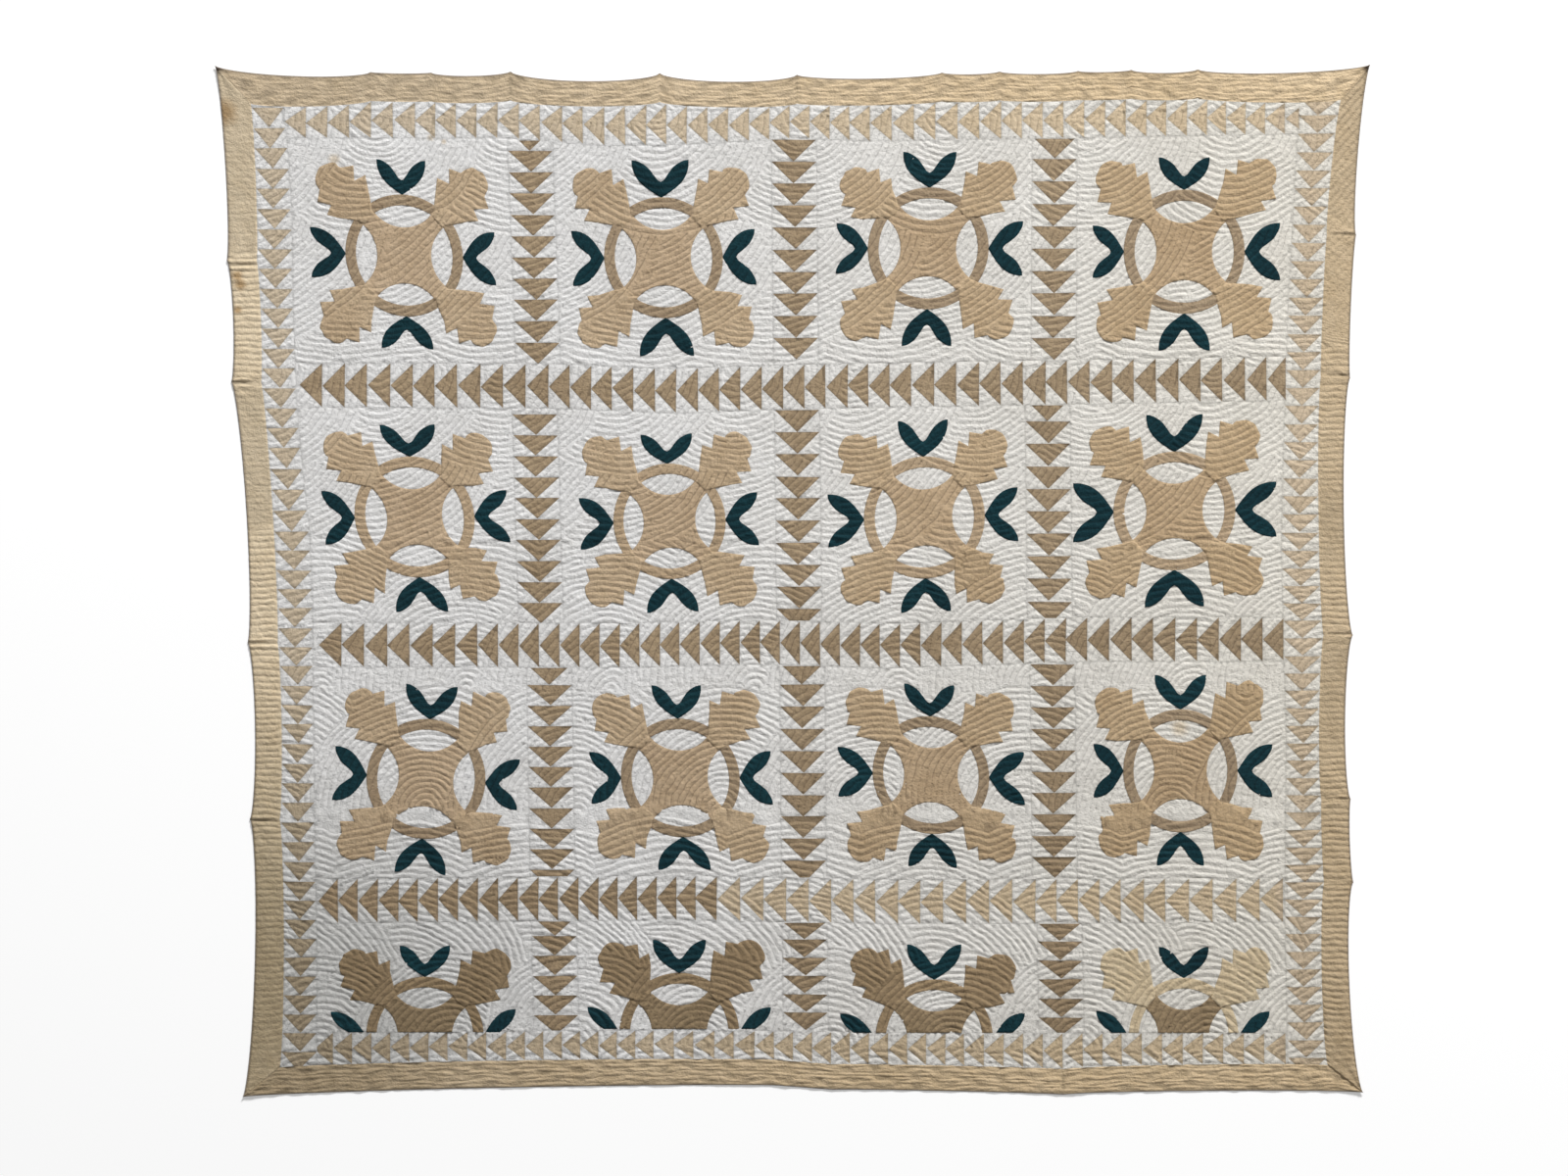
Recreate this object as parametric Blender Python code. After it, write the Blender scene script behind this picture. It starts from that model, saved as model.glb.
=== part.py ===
"""Applique quilt, spread flat and face up.

A pieced ground carries sixteen sewn-on motifs, each a reel in a ring with four oak leaves and four
pairs of slender leaves. Four plain border strips frame it and meet in mitred corners. The last row
of motifs is cut in half by the bottom strip of the ground, as on the real quilt.

Tables are in millimetres, seen from above: x to the right, y to the top edge, from the middle of
the quilt. The underside lies at z = 0.
"""

import math

import bmesh
import bpy
from mathutils import Vector
from mathutils.geometry import delaunay_2d_cdt

MM = 0.001

# Thicknesses and gaps
SEAM_TOP = 2.0          # top of the cloth where a seam draws it in
TROUGH_TOP = 2.2        # along a quilted line
RIDGE_TOP = 3.0         # between two quilted lines
EDGE_TOP = 1.7          # at the turned outer edge
GAP = 0.3               # between neighbouring pieces
MITRE_GAP = 0.2         # taken off each border strip at its mitre
PATCH = 0.9             # thickness of a sewn-on motif with its turned-in edge
PUCKER = 0.6            # how far a border strip is drawn up and down by its wrinkles
SWELL = 0.5             # height of the broad, slow waves of the whole quilt
SWELL_LONG = 830.0      # length of those waves across the quilt
SWELL_HIGH = 690.0      # and along it
CORNER_LIFT = 3.0       # how far a corner curls up from the surface
BESIDE_CORNER = 1.0     # and at the station next to it
PIN_LIFT = 1.5          # how far the edge is lifted where it is drawn outward
LIFT_SHAPE = 3          # the lift grows with this power of the way from seam to edge
SAG_SHAPE = 0.6         # below 1 the edge sags more steeply beside the points that draw it outward

# Steps along and across the cloth
STATION = 50.0          # along a border strip
ROW_STEP = 26.0         # from a quilted line to the ridge beside it, over four times the real step
ROW_POINTS = 42.0       # along a quilted line
SEAM_POINTS = 46.0      # along a seam
CLEAR = 15.0            # least distance between two points of the face
RIDGES_ALONG = (0.25, 0.75)     # places of the two lengthwise ridges between seam and edge
TROUGH_ALONG = 0.5              # and of the trough between them
RIDGE_ACROSS = (0.35, 0.75)     # from where to where a crosswise ridge runs

# Rows of quilted fans in the order of sewing. Columns: y of the middles, x of the first middle,
# step to the next (below zero where a row runs to the left), radius, and 1 where the arcs rise above
# their middle or -1 where they hang below it.
FAN_ROWS = [
    (-855, 1231, -233, 178, 1), (-785, -1200, 241, 254, 1), (-425, 1240, -273, 233, 1),
    (-205, 1263, -266, 245, 1), (-165, -1160, 300, 182, 1), (858, -1037, 263, 222, -1),
    (740, -1290, 246, 330, -1), (394, -980, 219, 200, -1), (300, -1220, 219, 260, -1),
]
FANS_ALONG = 2300.0     # length of a row from its first middle to its last
FANS_MEET_Y = 70.0      # the rows from below and the rows from above meet here
FAN_REACH = 1.35        # how far the lines of a fan go on where no other fan meets it
FAN_BEHIND = 200.0      # what a place behind a fan's middle counts further from it

# The four sides, clockwise from the top left corner: the way inward, the width of the border strip,
# how much of the outer edge's sag its seam follows, the run of its wrinkles and its first inner corner.
# Columns: x, y of a point where the edge is drawn outward, sag of the edge from there to the next.
SIDES = {
    "top": {
        "inward": (0, -1), "width": 53, "follow": 0.6, "wrinkles": "lengthwise",
        "inner_start": (-995, 876),
        "points": [
            (-1061, 946, 13), (-775, 934, 2), (-664, 933, 7), (-518, 935, 16), (-244, 932, 14),
            (8, 929, 9), (274, 933, 4), (380, 935, 5), (524, 936, 3), (622, 938, 6),
            (744, 939, 11),
        ],
    },
    "right": {
        "inward": (-1, 0), "width": 54, "follow": 0.5, "wrinkles": "crosswise",
        "inner_start": (1007, 883),
        "points": [
            (1061, 948, 9), (1035, 635, 4), (1024, 372, 14), (1029, -100, 12), (1025, -401, 4),
            (1030, -554, 16),
        ],
    },
    "bottom": {
        "inward": (0, 1), "width": 47, "follow": 1.0, "wrinkles": "lengthwise",
        "inner_start": (983, -890),
        "points": [(1048, -940, 5), (497, -944, 2), (74, -935, 0), (-16, -928, 7)],
    },
    "left": {
        "inward": (1, 0), "width": 55, "follow": 0.5, "wrinkles": "crosswise",
        "inner_start": (-942, -894),
        "points": [
            (-1010, -948, 16), (-997, -438, 12), (-1001, -114, 13), (-1031, 365, 8), (-1039, 588, 8),
        ],
    },
}
SIDE_ORDER = ["top", "right", "bottom", "left"]

# Seams of the pieced ground, each a run of x, y points
SASH = 84               # width of a strip of triangles between two rows of blocks
CROSS_SASH = 80         # width of a strip between two blocks of a row
LEFT_STRIP = [
    (-932, 870), (-924, 755), (-917, 500), (-900, 203), (-888, 100), (-880, -250), (-873, -830),
]
RIGHT_STRIP = [(930, 870), (915, 520), (903, 60), (911, -300), (909, -600), (915, -830)]
TOP_STRIP = [(-928, 812), (-520, 812), (-340, 798), (-180, 801), (8, 812), (140, 806), (920, 820)]
BOTTOM_STRIP = [(-870, -830), (-210, -825), (300, -831), (915, -830)]
SASHES = [
    [(-906, 359), (-440, 357), (-230, 348), (60, 357), (500, 362), (912, 371)],
    [(-884, -118), (-300, -119), (-60, -113), (180, -120), (540, -108), (907, -108)],
    [(-872, -589), (-400, -584), (-180, -583), (200, -590), (909, -586)],
]
# Columns: x of the middle of each cross sash, in the rows of blocks from the top
CROSS_SASHES = [(-475, -468, -444, -436), (4, 10, 19, 23), (480, 470, 479, 492)]

# The motifs. Columns: x, y of the middle, half width and half height of the ring,
# lean of its top to the right, rise of its right side, size of its oak leaves.
MOTIFS = [
    [(-713, 597, 108, 112, -4, -4, 0.98), (-237, 593, 109, 111, -4, 1, 0.97),
     (249, 610, 111, 112, 2, 0, 0.96), (719, 604, 111, 114, 0, 0, 0.97)],
    [(-694, 117, 110, 111, -9, 1, 0.95), (-226, 109, 103, 106, -4, 3, 1.00),
     (242, 116, 111, 112, -2, 4, 0.93), (701, 128, 112, 109, 0, 2, 0.97)],
    [(-673, -364, 109, 110, 7, -7, 0.95), (-206, -362, 109, 109, -5, 0, 0.95),
     (254, -357, 107, 108, -2, -4, 0.96), (712, -349, 105, 113, 0, 0, 0.97)],
    [(-675, -836, 108, 109, 0, 0, 0.97), (-208, -830, 110, 110, 0, 0, 0.97),
     (260, -841, 108, 109, 0, 0, 0.97), (718, -838, 101, 109, 0, 0, 1.00)],
]
# Oak leaves that were sewn on well beside their diagonal. Columns: row and column of the motif,
# quarter (0 top right, then to the left round), how far to the right and how far up.
LEAVES_OFF = [
    (1, 1, 3, 6, 4), (1, 3, 1, -3, -12), (1, 3, 2, 1, -7), (1, 3, 3, -1, -6), (1, 4, 0, 8, 5),
    (1, 4, 3, 2, 6), (2, 1, 0, -5, -6), (2, 1, 3, -11, 4), (2, 2, 2, -4, 6), (2, 3, 3, -10, -5),
    (2, 4, 0, -6, 6), (2, 4, 1, 7, -2), (3, 1, 0, -10, 9), (3, 1, 3, 8, 8), (3, 2, 0, -4, 6),
    (3, 2, 2, -4, 7), (3, 3, 2, -2, -8), (3, 4, 1, -4, -12), (3, 4, 2, 4, 6), (4, 2, 0, -4, 10),
    (4, 2, 1, 12, 5), (4, 3, 0, -8, -3), (4, 3, 1, 5, 8), (4, 4, 0, 8, 0),
]
LEAF_HELD = 95.0        # a leaf's foot keeps its place up to this distance from the middle
LEAF_FREE = 135.0       # and all of it beyond this one is moved
HALF_CUT = [-829, -823, -830, -830]     # y at which the last row of motifs is cut off

# Shape of one motif about its middle, for a ring of this outer radius
RING = 111.0
# One side of an oak leaf. Columns: distance from the middle along the diagonal, half width.
LEAF = [(115, 21), (154, 50), (164, 29), (189, 47), (193, 25), (214, 22), (227, 0)]
# One leaf of a pair. Columns: distance out from the ring, distance to the side.
PAIR = [(0, 3), (27, 37), (61, 47)]
PAIR_NOTCH = 25
HALF_PAIR_WIDTH = 11    # width of a pair's single leaf where the cut leaves it on the ring
# White opening between ring and reel. Columns: distance from the middle, distance to the side.
OPENING_TIP = (78, 56)
OPENING_RING_SIDE = [(87, 29), (90, 0), (87, -29)]
OPENING_REEL_SIDE = [(56, -28), (51, 0), (56, 28)]

# Colours of the cloth
COLOURS = {
    "ground": (0.78, 0.75, 0.69),
    "border": (0.60, 0.45, 0.27),
    "motif": (0.52, 0.37, 0.23),
    "motif_brown": (0.37, 0.28, 0.17),
}


def clear_scene():
    for thing in list(bpy.data.objects):
        bpy.data.objects.remove(thing, do_unlink=True)


def cloth_material(name, colour):
    material = bpy.data.materials.new(name)
    material.use_nodes = True
    shader = material.node_tree.nodes["Principled BSDF"]
    shader.inputs["Base Color"].default_value = (*colour, 1.0)
    shader.inputs["Roughness"].default_value = 0.92
    shader.inputs["Metallic"].default_value = 0.0
    return material


def add_object(name, points, faces, colour):
    """Adds one closed piece from points in millimetres."""
    mesh = bpy.data.meshes.new(name)
    mesh.from_pydata([(x * MM, y * MM, z * MM) for x, y, z in points], [], faces)
    work = bmesh.new()
    work.from_mesh(mesh)
    bmesh.ops.recalc_face_normals(work, faces=work.faces)
    work.to_mesh(mesh)
    work.free()
    mesh.materials.append(cloth_material(name + "_cloth", colour))
    thing = bpy.data.objects.new(name, mesh)
    bpy.context.scene.collection.objects.link(thing)
    return thing


def swell(x, y):
    """Height of the slow waves of the quilt, never below zero."""
    wave = math.sin(math.tau * x / SWELL_LONG) * math.cos(math.tau * y / SWELL_HIGH)
    return SWELL * (0.5 + 0.5 * wave)


def inside(point, loop):
    """True where the point lies inside the closed loop."""
    x, y = point
    hit = False
    for (ax, ay), (bx, by) in zip(loop, loop[1:] + loop[:1]):
        if (ay > y) != (by > y) and x < ax + (y - ay) * (bx - ax) / (by - ay):
            hit = not hit
    return hit


def triangles_within(points, loops, keep):
    """Triangulates the points with the loops as edges and keeps the triangles that keep() takes."""
    edges = []
    for loop in loops:
        edges += list(zip(loop, loop[1:] + loop[:1]))
    flat = [Vector(point) for point in points]
    _, _, faces, _, _, _ = delaunay_2d_cdt(flat, edges, [], 0, 1e-6, False)
    kept = []
    for face in faces:
        middle = sum((flat[index] for index in face), Vector((0, 0))) / 3
        if keep(middle):
            kept.append(tuple(face))
    return kept


def side_stations(side):
    """Pairs of outer and inner points along one side, from its first corner to its last."""
    here = SIDES[side]
    following = SIDES[SIDE_ORDER[(SIDE_ORDER.index(side) + 1) % 4]]
    inward = Vector(here["inward"])
    rows = here["points"] + [following["points"][0]]
    outer = [Vector(row[:2]) for row in rows]
    inner = [point + inward * here["width"] for point in outer]
    inner[0] = Vector(here["inner_start"])
    inner[-1] = Vector(following["inner_start"])
    stations = []
    for index in range(len(rows) - 1):
        sag = rows[index][2]
        steps = max(1, round((outer[index + 1] - outer[index]).length / STATION))
        for step in range(steps):
            part = step / steps
            dip = inward * sag * (4 * part * (1 - part)) ** SAG_SHAPE
            drawn = 1.0 if step == 0 else 0.0
            stations.append((outer[index].lerp(outer[index + 1], part) + dip,
                             inner[index].lerp(inner[index + 1], part) + dip * here["follow"], drawn))
    stations.append((outer[-1], inner[-1], 1.0))
    return stations


def edge_lift(index, count, drawn):
    """How far the outer edge stands off the surface at one station."""
    if index in (0, count - 1):
        return CORNER_LIFT
    if index in (1, count - 2):
        return BESIDE_CORNER
    return PIN_LIFT * drawn


def border_section(wrinkles, index):
    """Places across a border strip, from seam to edge, with the height of the cloth there."""
    if wrinkles == "lengthwise":
        near, far = RIDGES_ALONG
        return [(0.0, SEAM_TOP), (near, RIDGE_TOP), (TROUGH_ALONG, RIDGE_TOP - PUCKER), (far, RIDGE_TOP),
                (1.0, EDGE_TOP)]
    near, far = RIDGE_ACROSS
    height = RIDGE_TOP if index % 2 else RIDGE_TOP - PUCKER
    return [(0.0, SEAM_TOP), (near, height), (far, height), (1.0, EDGE_TOP)]


def make_border(side):
    """One border strip, a grid of stations along it and places across it, closed below."""
    stations = side_stations(side)
    along = (stations[-1][0] - stations[0][0]).normalized()
    count = len(stations)
    points = []
    for index, (outer, inner, drawn) in enumerate(stations):
        shift = Vector((0, 0))
        if index == 0:
            shift = along * MITRE_GAP
        if index == count - 1:
            shift = along * -MITRE_GAP
        lift = edge_lift(index, count, drawn)
        ring = []
        for place, height in border_section(SIDES[side]["wrinkles"], index):
            spot = inner.lerp(outer, place) + shift
            ring.append((*spot, height + swell(*spot) + lift * place ** LIFT_SHAPE))
        outer_spot = outer + shift
        inner_spot = inner + shift
        ring.append((*outer_spot, lift))
        ring.append((*inner_spot, 0.0))
        points += ring
    size = len(points) // count
    faces = []
    for index in range(count - 1):
        for place in range(size):
            after = (place + 1) % size
            start = index * size
            faces.append((start + place, start + after, start + size + after))
            faces.append((start + place, start + size + after, start + size + place))
    for start in (0, (count - 1) * size):
        faces += [(start, start + place, start + place + 1) for place in range(1, size - 1)]
    add_object("border_" + side, points, faces, COLOURS["border"])


def ground_outline():
    """Closed loop of the pieced ground, a little inside the border seams."""
    loop = []
    for side in SIDE_ORDER:
        inward = Vector(SIDES[side]["inward"])
        stations = side_stations(side)
        before = Vector(SIDES[SIDE_ORDER[SIDE_ORDER.index(side) - 1]]["inward"])
        loop.append(tuple(stations[0][1] + (inward + before) * GAP))
        loop += [tuple(inner + inward * GAP) for _, inner, _ in stations[1:-1]]
    return loop


def height_on(run, x):
    """The y of a seam run at one x."""
    for (ax, ay), (bx, by) in zip(run, run[1:]):
        if x <= bx:
            break
    return ay + (by - ay) * (x - ax) / (bx - ax)


def seam_runs():
    """All seams of the ground as runs of points."""
    runs = [LEFT_STRIP, RIGHT_STRIP, TOP_STRIP, BOTTOM_STRIP]
    for sash in SASHES:
        for half in (-SASH / 2, SASH / 2):
            runs.append([(x, y + half) for x, y in sash])
    above = [TOP_STRIP] + [[(x, y - SASH / 2) for x, y in sash] for sash in SASHES]
    below = [[(x, y + SASH / 2) for x, y in sash] for sash in SASHES] + [BOTTOM_STRIP]
    for columns in CROSS_SASHES:
        for x, upper, lower in zip(columns, above, below):
            for half in (-CROSS_SASH / 2, CROSS_SASH / 2):
                place = x + half
                runs.append([(place, height_on(upper, place)), (place, height_on(lower, place))])
    return runs


def fan_rows():
    """The quilted fans in the order of sewing: x and y of the middle, radius and way."""
    fans = []
    for y, first_x, step, radius, way in FAN_ROWS:
        for column in range(math.ceil(FANS_ALONG / abs(step)) + 1):
            fans.append((first_x + column * step, y, radius, way))
    return fans


def fan_at(x, y, fans):
    """The first fan that was sewn over a place, or else the nearest one."""
    side = 1 if y < FANS_MEET_Y else -1
    nearest = None
    closest = math.inf
    for fan in fans:
        middle_x, middle_y, radius, way = fan
        if way != side:
            continue
        ahead = (y - middle_y) * way
        beyond = math.hypot(x - middle_x, ahead) - radius
        if ahead >= 0 and beyond <= 0:
            return fan
        if ahead < 0:
            beyond += FAN_BEHIND
        if beyond < closest:
            nearest, closest = fan, beyond
    return nearest


class FacePoints:
    """Points of the ground's face that keep a least distance from each other."""

    def __init__(self):
        self.points = []
        self.heights = []
        self.cells = {}

    def near(self, x, y):
        column, row = int(x // CLEAR), int(y // CLEAR)
        for i in range(column - 1, column + 2):
            for j in range(row - 1, row + 2):
                for ax, ay in self.cells.get((i, j), []):
                    if math.hypot(x - ax, y - ay) < CLEAR:
                        return True
        return False

    def add(self, x, y, height, always=False):
        if not always and self.near(x, y):
            return
        self.points.append((x, y))
        self.heights.append(height + swell(x, y))
        self.cells.setdefault((int(x // CLEAR), int(y // CLEAR)), []).append((x, y))


def add_seams(face, outline):
    """Points along the seams of the pieced ground."""
    for run in seam_runs():
        for a, b in zip(run, run[1:]):
            start, end = Vector(a), Vector(b)
            steps = max(1, round((end - start).length / SEAM_POINTS))
            for step in range(steps + 1):
                spot = start.lerp(end, step / steps)
                if inside(spot, outline):
                    face.add(*spot, SEAM_TOP)


def add_fans(face, outline):
    """Points along the quilted arcs and along the ridges between them."""
    fans = fan_rows()
    for fan in fans:
        middle_x, middle_y, fan_radius, way = fan
        for line in range(1, int(fan_radius * FAN_REACH // ROW_STEP) + 1):
            radius = line * ROW_STEP
            height = TROUGH_TOP if line % 2 else RIDGE_TOP
            steps = max(3, round(math.pi * radius / ROW_POINTS))
            for step in range(steps + 1):
                angle = math.pi * step / steps
                x = middle_x + radius * math.cos(angle)
                y = middle_y + radius * math.sin(angle) * way
                if inside((x, y), outline) and fan_at(x, y, fans) is fan:
                    face.add(x, y, height)


def make_ground():
    """The pieced ground with its filling and back, quilted in fans."""
    outline = ground_outline()
    rim = list(range(len(outline)))
    face = FacePoints()
    for x, y in outline:
        face.add(x, y, SEAM_TOP, always=True)
    add_seams(face, outline)
    add_fans(face, outline)
    top = triangles_within(face.points, [rim], lambda middle: inside(middle, outline))
    bottom = triangles_within(outline, [rim], lambda middle: inside(middle, outline))
    count = len(face.points)
    points = [(x, y, z) for (x, y), z in zip(face.points, face.heights)]
    points += [(x, y, 0.0) for x, y in outline]
    faces = list(top)
    faces += [(a + count, c + count, b + count) for a, b, c in bottom]
    for a, b in zip(rim, rim[1:] + rim[:1]):
        faces.append((a, b, b + count))
        faces.append((a, b + count, a + count))
    add_object("pieced_ground", points, faces, COLOURS["ground"])


def turned(point, quarter_turns):
    """A point turned about the middle by quarter turns."""
    angle = math.pi / 2 * quarter_turns
    x, y = point
    return (x * math.cos(angle) - y * math.sin(angle), x * math.sin(angle) + y * math.cos(angle))


def leaf_points(quarter, size, off):
    """An oak leaf, counter-clockwise, on the diagonal after this quarter turn, or beside it."""
    profile = [(u, -v) for u, v in LEAF] + [(u, v) for u, v in reversed(LEAF[:-1])]
    points = []
    for u, v in profile:
        x, y = turned((u * size, v * size), quarter + 0.5)
        part = min(1.0, max(0.0, (math.hypot(x, y) - LEAF_HELD) / (LEAF_FREE - LEAF_HELD)))
        points.append((x + off[0] * part, y + off[1] * part))
    return points


def pair_points(quarter):
    """A pair of slender leaves whose point is sewn against the ring."""
    near_side = [(RING + out, -side) for out, side in PAIR]
    far_side = [(RING + out, side) for out, side in reversed(PAIR)]
    profile = near_side + [(RING + PAIR_NOTCH, 0)] + far_side
    return [turned(point, quarter) for point in profile]


def opening_points(quarter):
    """The opening between ring and reel."""
    tip_out, tip_side = OPENING_TIP
    profile = [(tip_out, tip_side)] + OPENING_RING_SIDE + [(tip_out, -tip_side)] + OPENING_REEL_SIDE
    return [turned(point, quarter) for point in profile]


def whole_motif(leaf_size, leaves_off):
    """Outline and openings of a motif about its middle."""
    outline = []
    for quarter in range(4):
        outline += pair_points(quarter) + leaf_points(quarter, leaf_size, leaves_off[quarter])
    return outline, [opening_points(quarter) for quarter in range(4)]


def half_motif(leaf_size, leaves_off, cut):
    """The upper half of a motif: its sides end on the cut, and the side openings are open below."""
    (_, foot), (bend_out, bend_side), (tip_out, tip_side) = PAIR
    half_pair = [(RING - foot, cut), (RING + PAIR_NOTCH, cut), (RING + tip_out, tip_side),
                 (RING + bend_out, bend_side), (RING - foot, cut + HALF_PAIR_WIDTH)]
    side_opening = [(OPENING_RING_SIDE[1][0], cut), OPENING_RING_SIDE[0], OPENING_TIP,
                    OPENING_REEL_SIDE[2], (OPENING_REEL_SIDE[1][0], cut)]
    outline = half_pair + leaf_points(0, leaf_size, leaves_off[0]) + pair_points(1)
    outline += leaf_points(1, leaf_size, leaves_off[1])
    outline += [(-x, y) for x, y in reversed(half_pair)]
    outline += [(-x, y) for x, y in side_opening]
    outline += list(reversed(side_opening))
    return outline, [opening_points(1)]


def placed(points, row):
    """Puts motif points in their place on the quilt."""
    x, y, wide, high, lean, rise, _ = row
    spots = []
    for px, py in points:
        across, up = px / RING, py / RING
        spots.append((x + across * wide + up * lean, y + up * high + across * rise))
    return spots


def make_motif(name, row, leaves_off, half_cut, colour):
    """One sewn-on motif, a thin plate that lies over the ridges of the ground."""
    _, middle_y, _, half_height, _, _, leaf_size = row
    if half_cut is None:
        outline, openings = whole_motif(leaf_size, leaves_off)
    else:
        cut = (half_cut - middle_y) * RING / half_height
        outline, openings = half_motif(leaf_size, leaves_off, cut)
    loops = [placed(points, row) for points in [outline] + openings]
    flat = [point for loop in loops for point in loop]
    numbers = []
    start = 0
    for loop in loops:
        numbers.append(list(range(start, start + len(loop))))
        start += len(loop)

    def on_cloth(middle):
        return inside(middle, loops[0]) and not any(inside(middle, loop) for loop in loops[1:])

    top = triangles_within(flat, numbers, on_cloth)
    count = len(flat)
    under = RIDGE_TOP + GAP
    points = [(x, y, under + PATCH + swell(x, y)) for x, y in flat]
    points += [(x, y, under + swell(x, y)) for x, y in flat]
    faces = list(top) + [(a + count, c + count, b + count) for a, b, c in top]
    for loop in numbers:
        for a, b in zip(loop, loop[1:] + loop[:1]):
            faces.append((a, b, b + count))
            faces.append((a, b + count, a + count))
    add_object(name, points, faces, colour)


def make_motifs():
    off = {(line, column, quarter): (right, up) for line, column, quarter, right, up in LEAVES_OFF}
    for line, rows in enumerate(MOTIFS):
        for column, row in enumerate(rows):
            last = line == len(MOTIFS) - 1
            colour = COLOURS["motif_brown"] if last else COLOURS["motif"]
            cut = HALF_CUT[column] if last else None
            leaves_off = [off.get((line + 1, column + 1, quarter), (0, 0)) for quarter in range(4)]
            make_motif(f"motif_row{line + 1}_{column + 1}", row, leaves_off, cut, colour)


def main():
    clear_scene()
    make_ground()
    for side in SIDE_ORDER:
        make_border(side)
    make_motifs()


main()
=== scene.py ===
"""The looks of an applique quilt, spread flat and seen from above.

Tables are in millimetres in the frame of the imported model: x to the right, y to the top edge,
from the middle of the quilt. The underside lies at z = 0.
"""
import math
import random

import bpy
import numpy as np
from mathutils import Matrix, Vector
from mathutils.geometry import delaunay_2d_cdt


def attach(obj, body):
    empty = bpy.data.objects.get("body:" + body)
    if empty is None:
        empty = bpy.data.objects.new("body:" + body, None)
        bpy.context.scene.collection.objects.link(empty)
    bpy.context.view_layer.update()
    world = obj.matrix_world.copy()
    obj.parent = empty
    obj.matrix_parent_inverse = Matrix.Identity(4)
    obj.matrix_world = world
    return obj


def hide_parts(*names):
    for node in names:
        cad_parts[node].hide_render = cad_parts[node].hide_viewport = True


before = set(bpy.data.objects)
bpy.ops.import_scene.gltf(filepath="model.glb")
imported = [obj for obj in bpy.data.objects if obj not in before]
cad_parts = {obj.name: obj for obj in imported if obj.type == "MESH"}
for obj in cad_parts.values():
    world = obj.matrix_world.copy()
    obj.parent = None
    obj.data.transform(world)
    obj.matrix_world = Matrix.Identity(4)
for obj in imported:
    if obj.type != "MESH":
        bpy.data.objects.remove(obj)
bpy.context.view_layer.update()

MM = 0.001
BODY = "root"

# Heights of the cloth
TROUGH_TOP = 1.3  # along a quilted line
RIDGE_TOP = 3.3  # between two quilted lines
# How deep the quilted lines are drawn in at some heights y
TIGHT_AT = (-945, -300, 250, 945)
TIGHTNESS = (1.2, 0.95, 0.8, 0.85)
UNDER_PATCH = 0.7  # how far the ground is pressed down under a sewn-on piece
SEAM_DIP = 0.5  # how far a seam draws the cloth in
SEAM_SHADE = 0.05  # painted shade: the part of its puff, and so of its paleness, that the cloth keeps in a seam
PATCH_FOOT = 0.12  # height of the very edge of a sewn-on piece above the ground
LEAF_OVER = 0.55  # extra height where the foot of a leaf covers ring and reel
SWELL = 0.5  # height of the broad, slow waves of the whole quilt
SWELL_LONG = 830.0
SWELL_HIGH = 690.0
CORNER_LIFT = 3.0
PIN_LIFT = 1.5
LIFT_SHAPE = 3
SAG_SHAPE = 0.6

# Quilted lines
LINE_PITCH = 11.4
PUFF_SHAPE = 0.62  # below 1 the troughs are narrow and the ridges broad
RINGS_A_LINE = 4  # rings of points from one quilted line to the next
POINT_STEP = 5.6  # between points along a ring
SEAM_STEP = 4.0  # between points along a seam
PATCH_STEP = 3.0  # between points along the edge of a sewn-on piece
PATCH_INSET = 0.9  # from that edge to the row of points where the piece is at full height
STATIONS = {"top": 5.0, "bottom": 5.0, "left": 1.7, "right": 1.7}

# The four sides, clockwise from the top left corner: the way inward, the width of the border strip,
# how much of the outer edge's sag its seam follows and its first inner corner.
# Columns: x, y of a point where the edge is drawn outward, sag of the edge from there to the next.
SIDES = {
    "top": {
        "inward": (0, -1), "width": 53, "follow": 0.6, "inner_start": (-995, 876),
        "points": [
            (-1061, 946, 13), (-775, 934, 2), (-664, 933, 7), (-518, 935, 16), (-244, 932, 14),
            (8, 929, 9), (274, 933, 4), (380, 935, 5), (524, 936, 3), (622, 938, 6),
            (744, 939, 11),
        ],
    },
    "right": {
        "inward": (-1, 0), "width": 54, "follow": 0.5, "inner_start": (1007, 883),
        "points": [
            (1061, 948, 9), (1035, 635, 4), (1024, 372, 14), (1029, -100, 12), (1025, -401, 4),
            (1030, -554, 16),
        ],
    },
    "bottom": {
        "inward": (0, 1), "width": 47, "follow": 1.0, "inner_start": (983, -890),
        "points": [(1048, -940, 5), (497, -944, 2), (74, -935, 0), (-16, -928, 7)],
    },
    "left": {
        "inward": (1, 0), "width": 55, "follow": 0.5, "inner_start": (-942, -894),
        "points": [
            (-1010, -948, 16), (-997, -438, 12), (-1001, -114, 13), (-1031, 365, 8), (-1039, 588, 8),
        ],
    },
}
SIDE_ORDER = ["top", "right", "bottom", "left"]

# Seams of the pieced ground, each a run of x, y points
SASH = 82
CROSS_SASH = 83
LEFT_STRIP = [
    (-934, 930), (-934, 868), (-924, 755), (-919, 645), (-917, 500), (-910, 315), (-900, 203),
    (-888, 100), (-881, -40), (-880, -250), (-877, -500), (-874, -640), (-873, -930),
]
RIGHT_STRIP = [
    (931, 930), (930, 870), (910, 520), (899, 170), (897, 60), (906, -300), (903, -600), (910, -930),
]
TOP_STRIP = [(-930, 812), (-520, 812), (-340, 798), (-180, 801), (8, 812), (140, 806), (940, 820)]
BOTTOM_STRIP = [(-930, -830), (-210, -825), (300, -831), (940, -830)]
SASHES = [
    [(-930, 359), (-440, 357), (-230, 348), (60, 357), (500, 364), (940, 372)],
    [(-930, -118), (-300, -119), (-60, -113), (180, -120), (540, -108), (940, -108)],
    [(-930, -589), (-400, -584), (-180, -583), (200, -590), (940, -586)],
]
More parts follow.
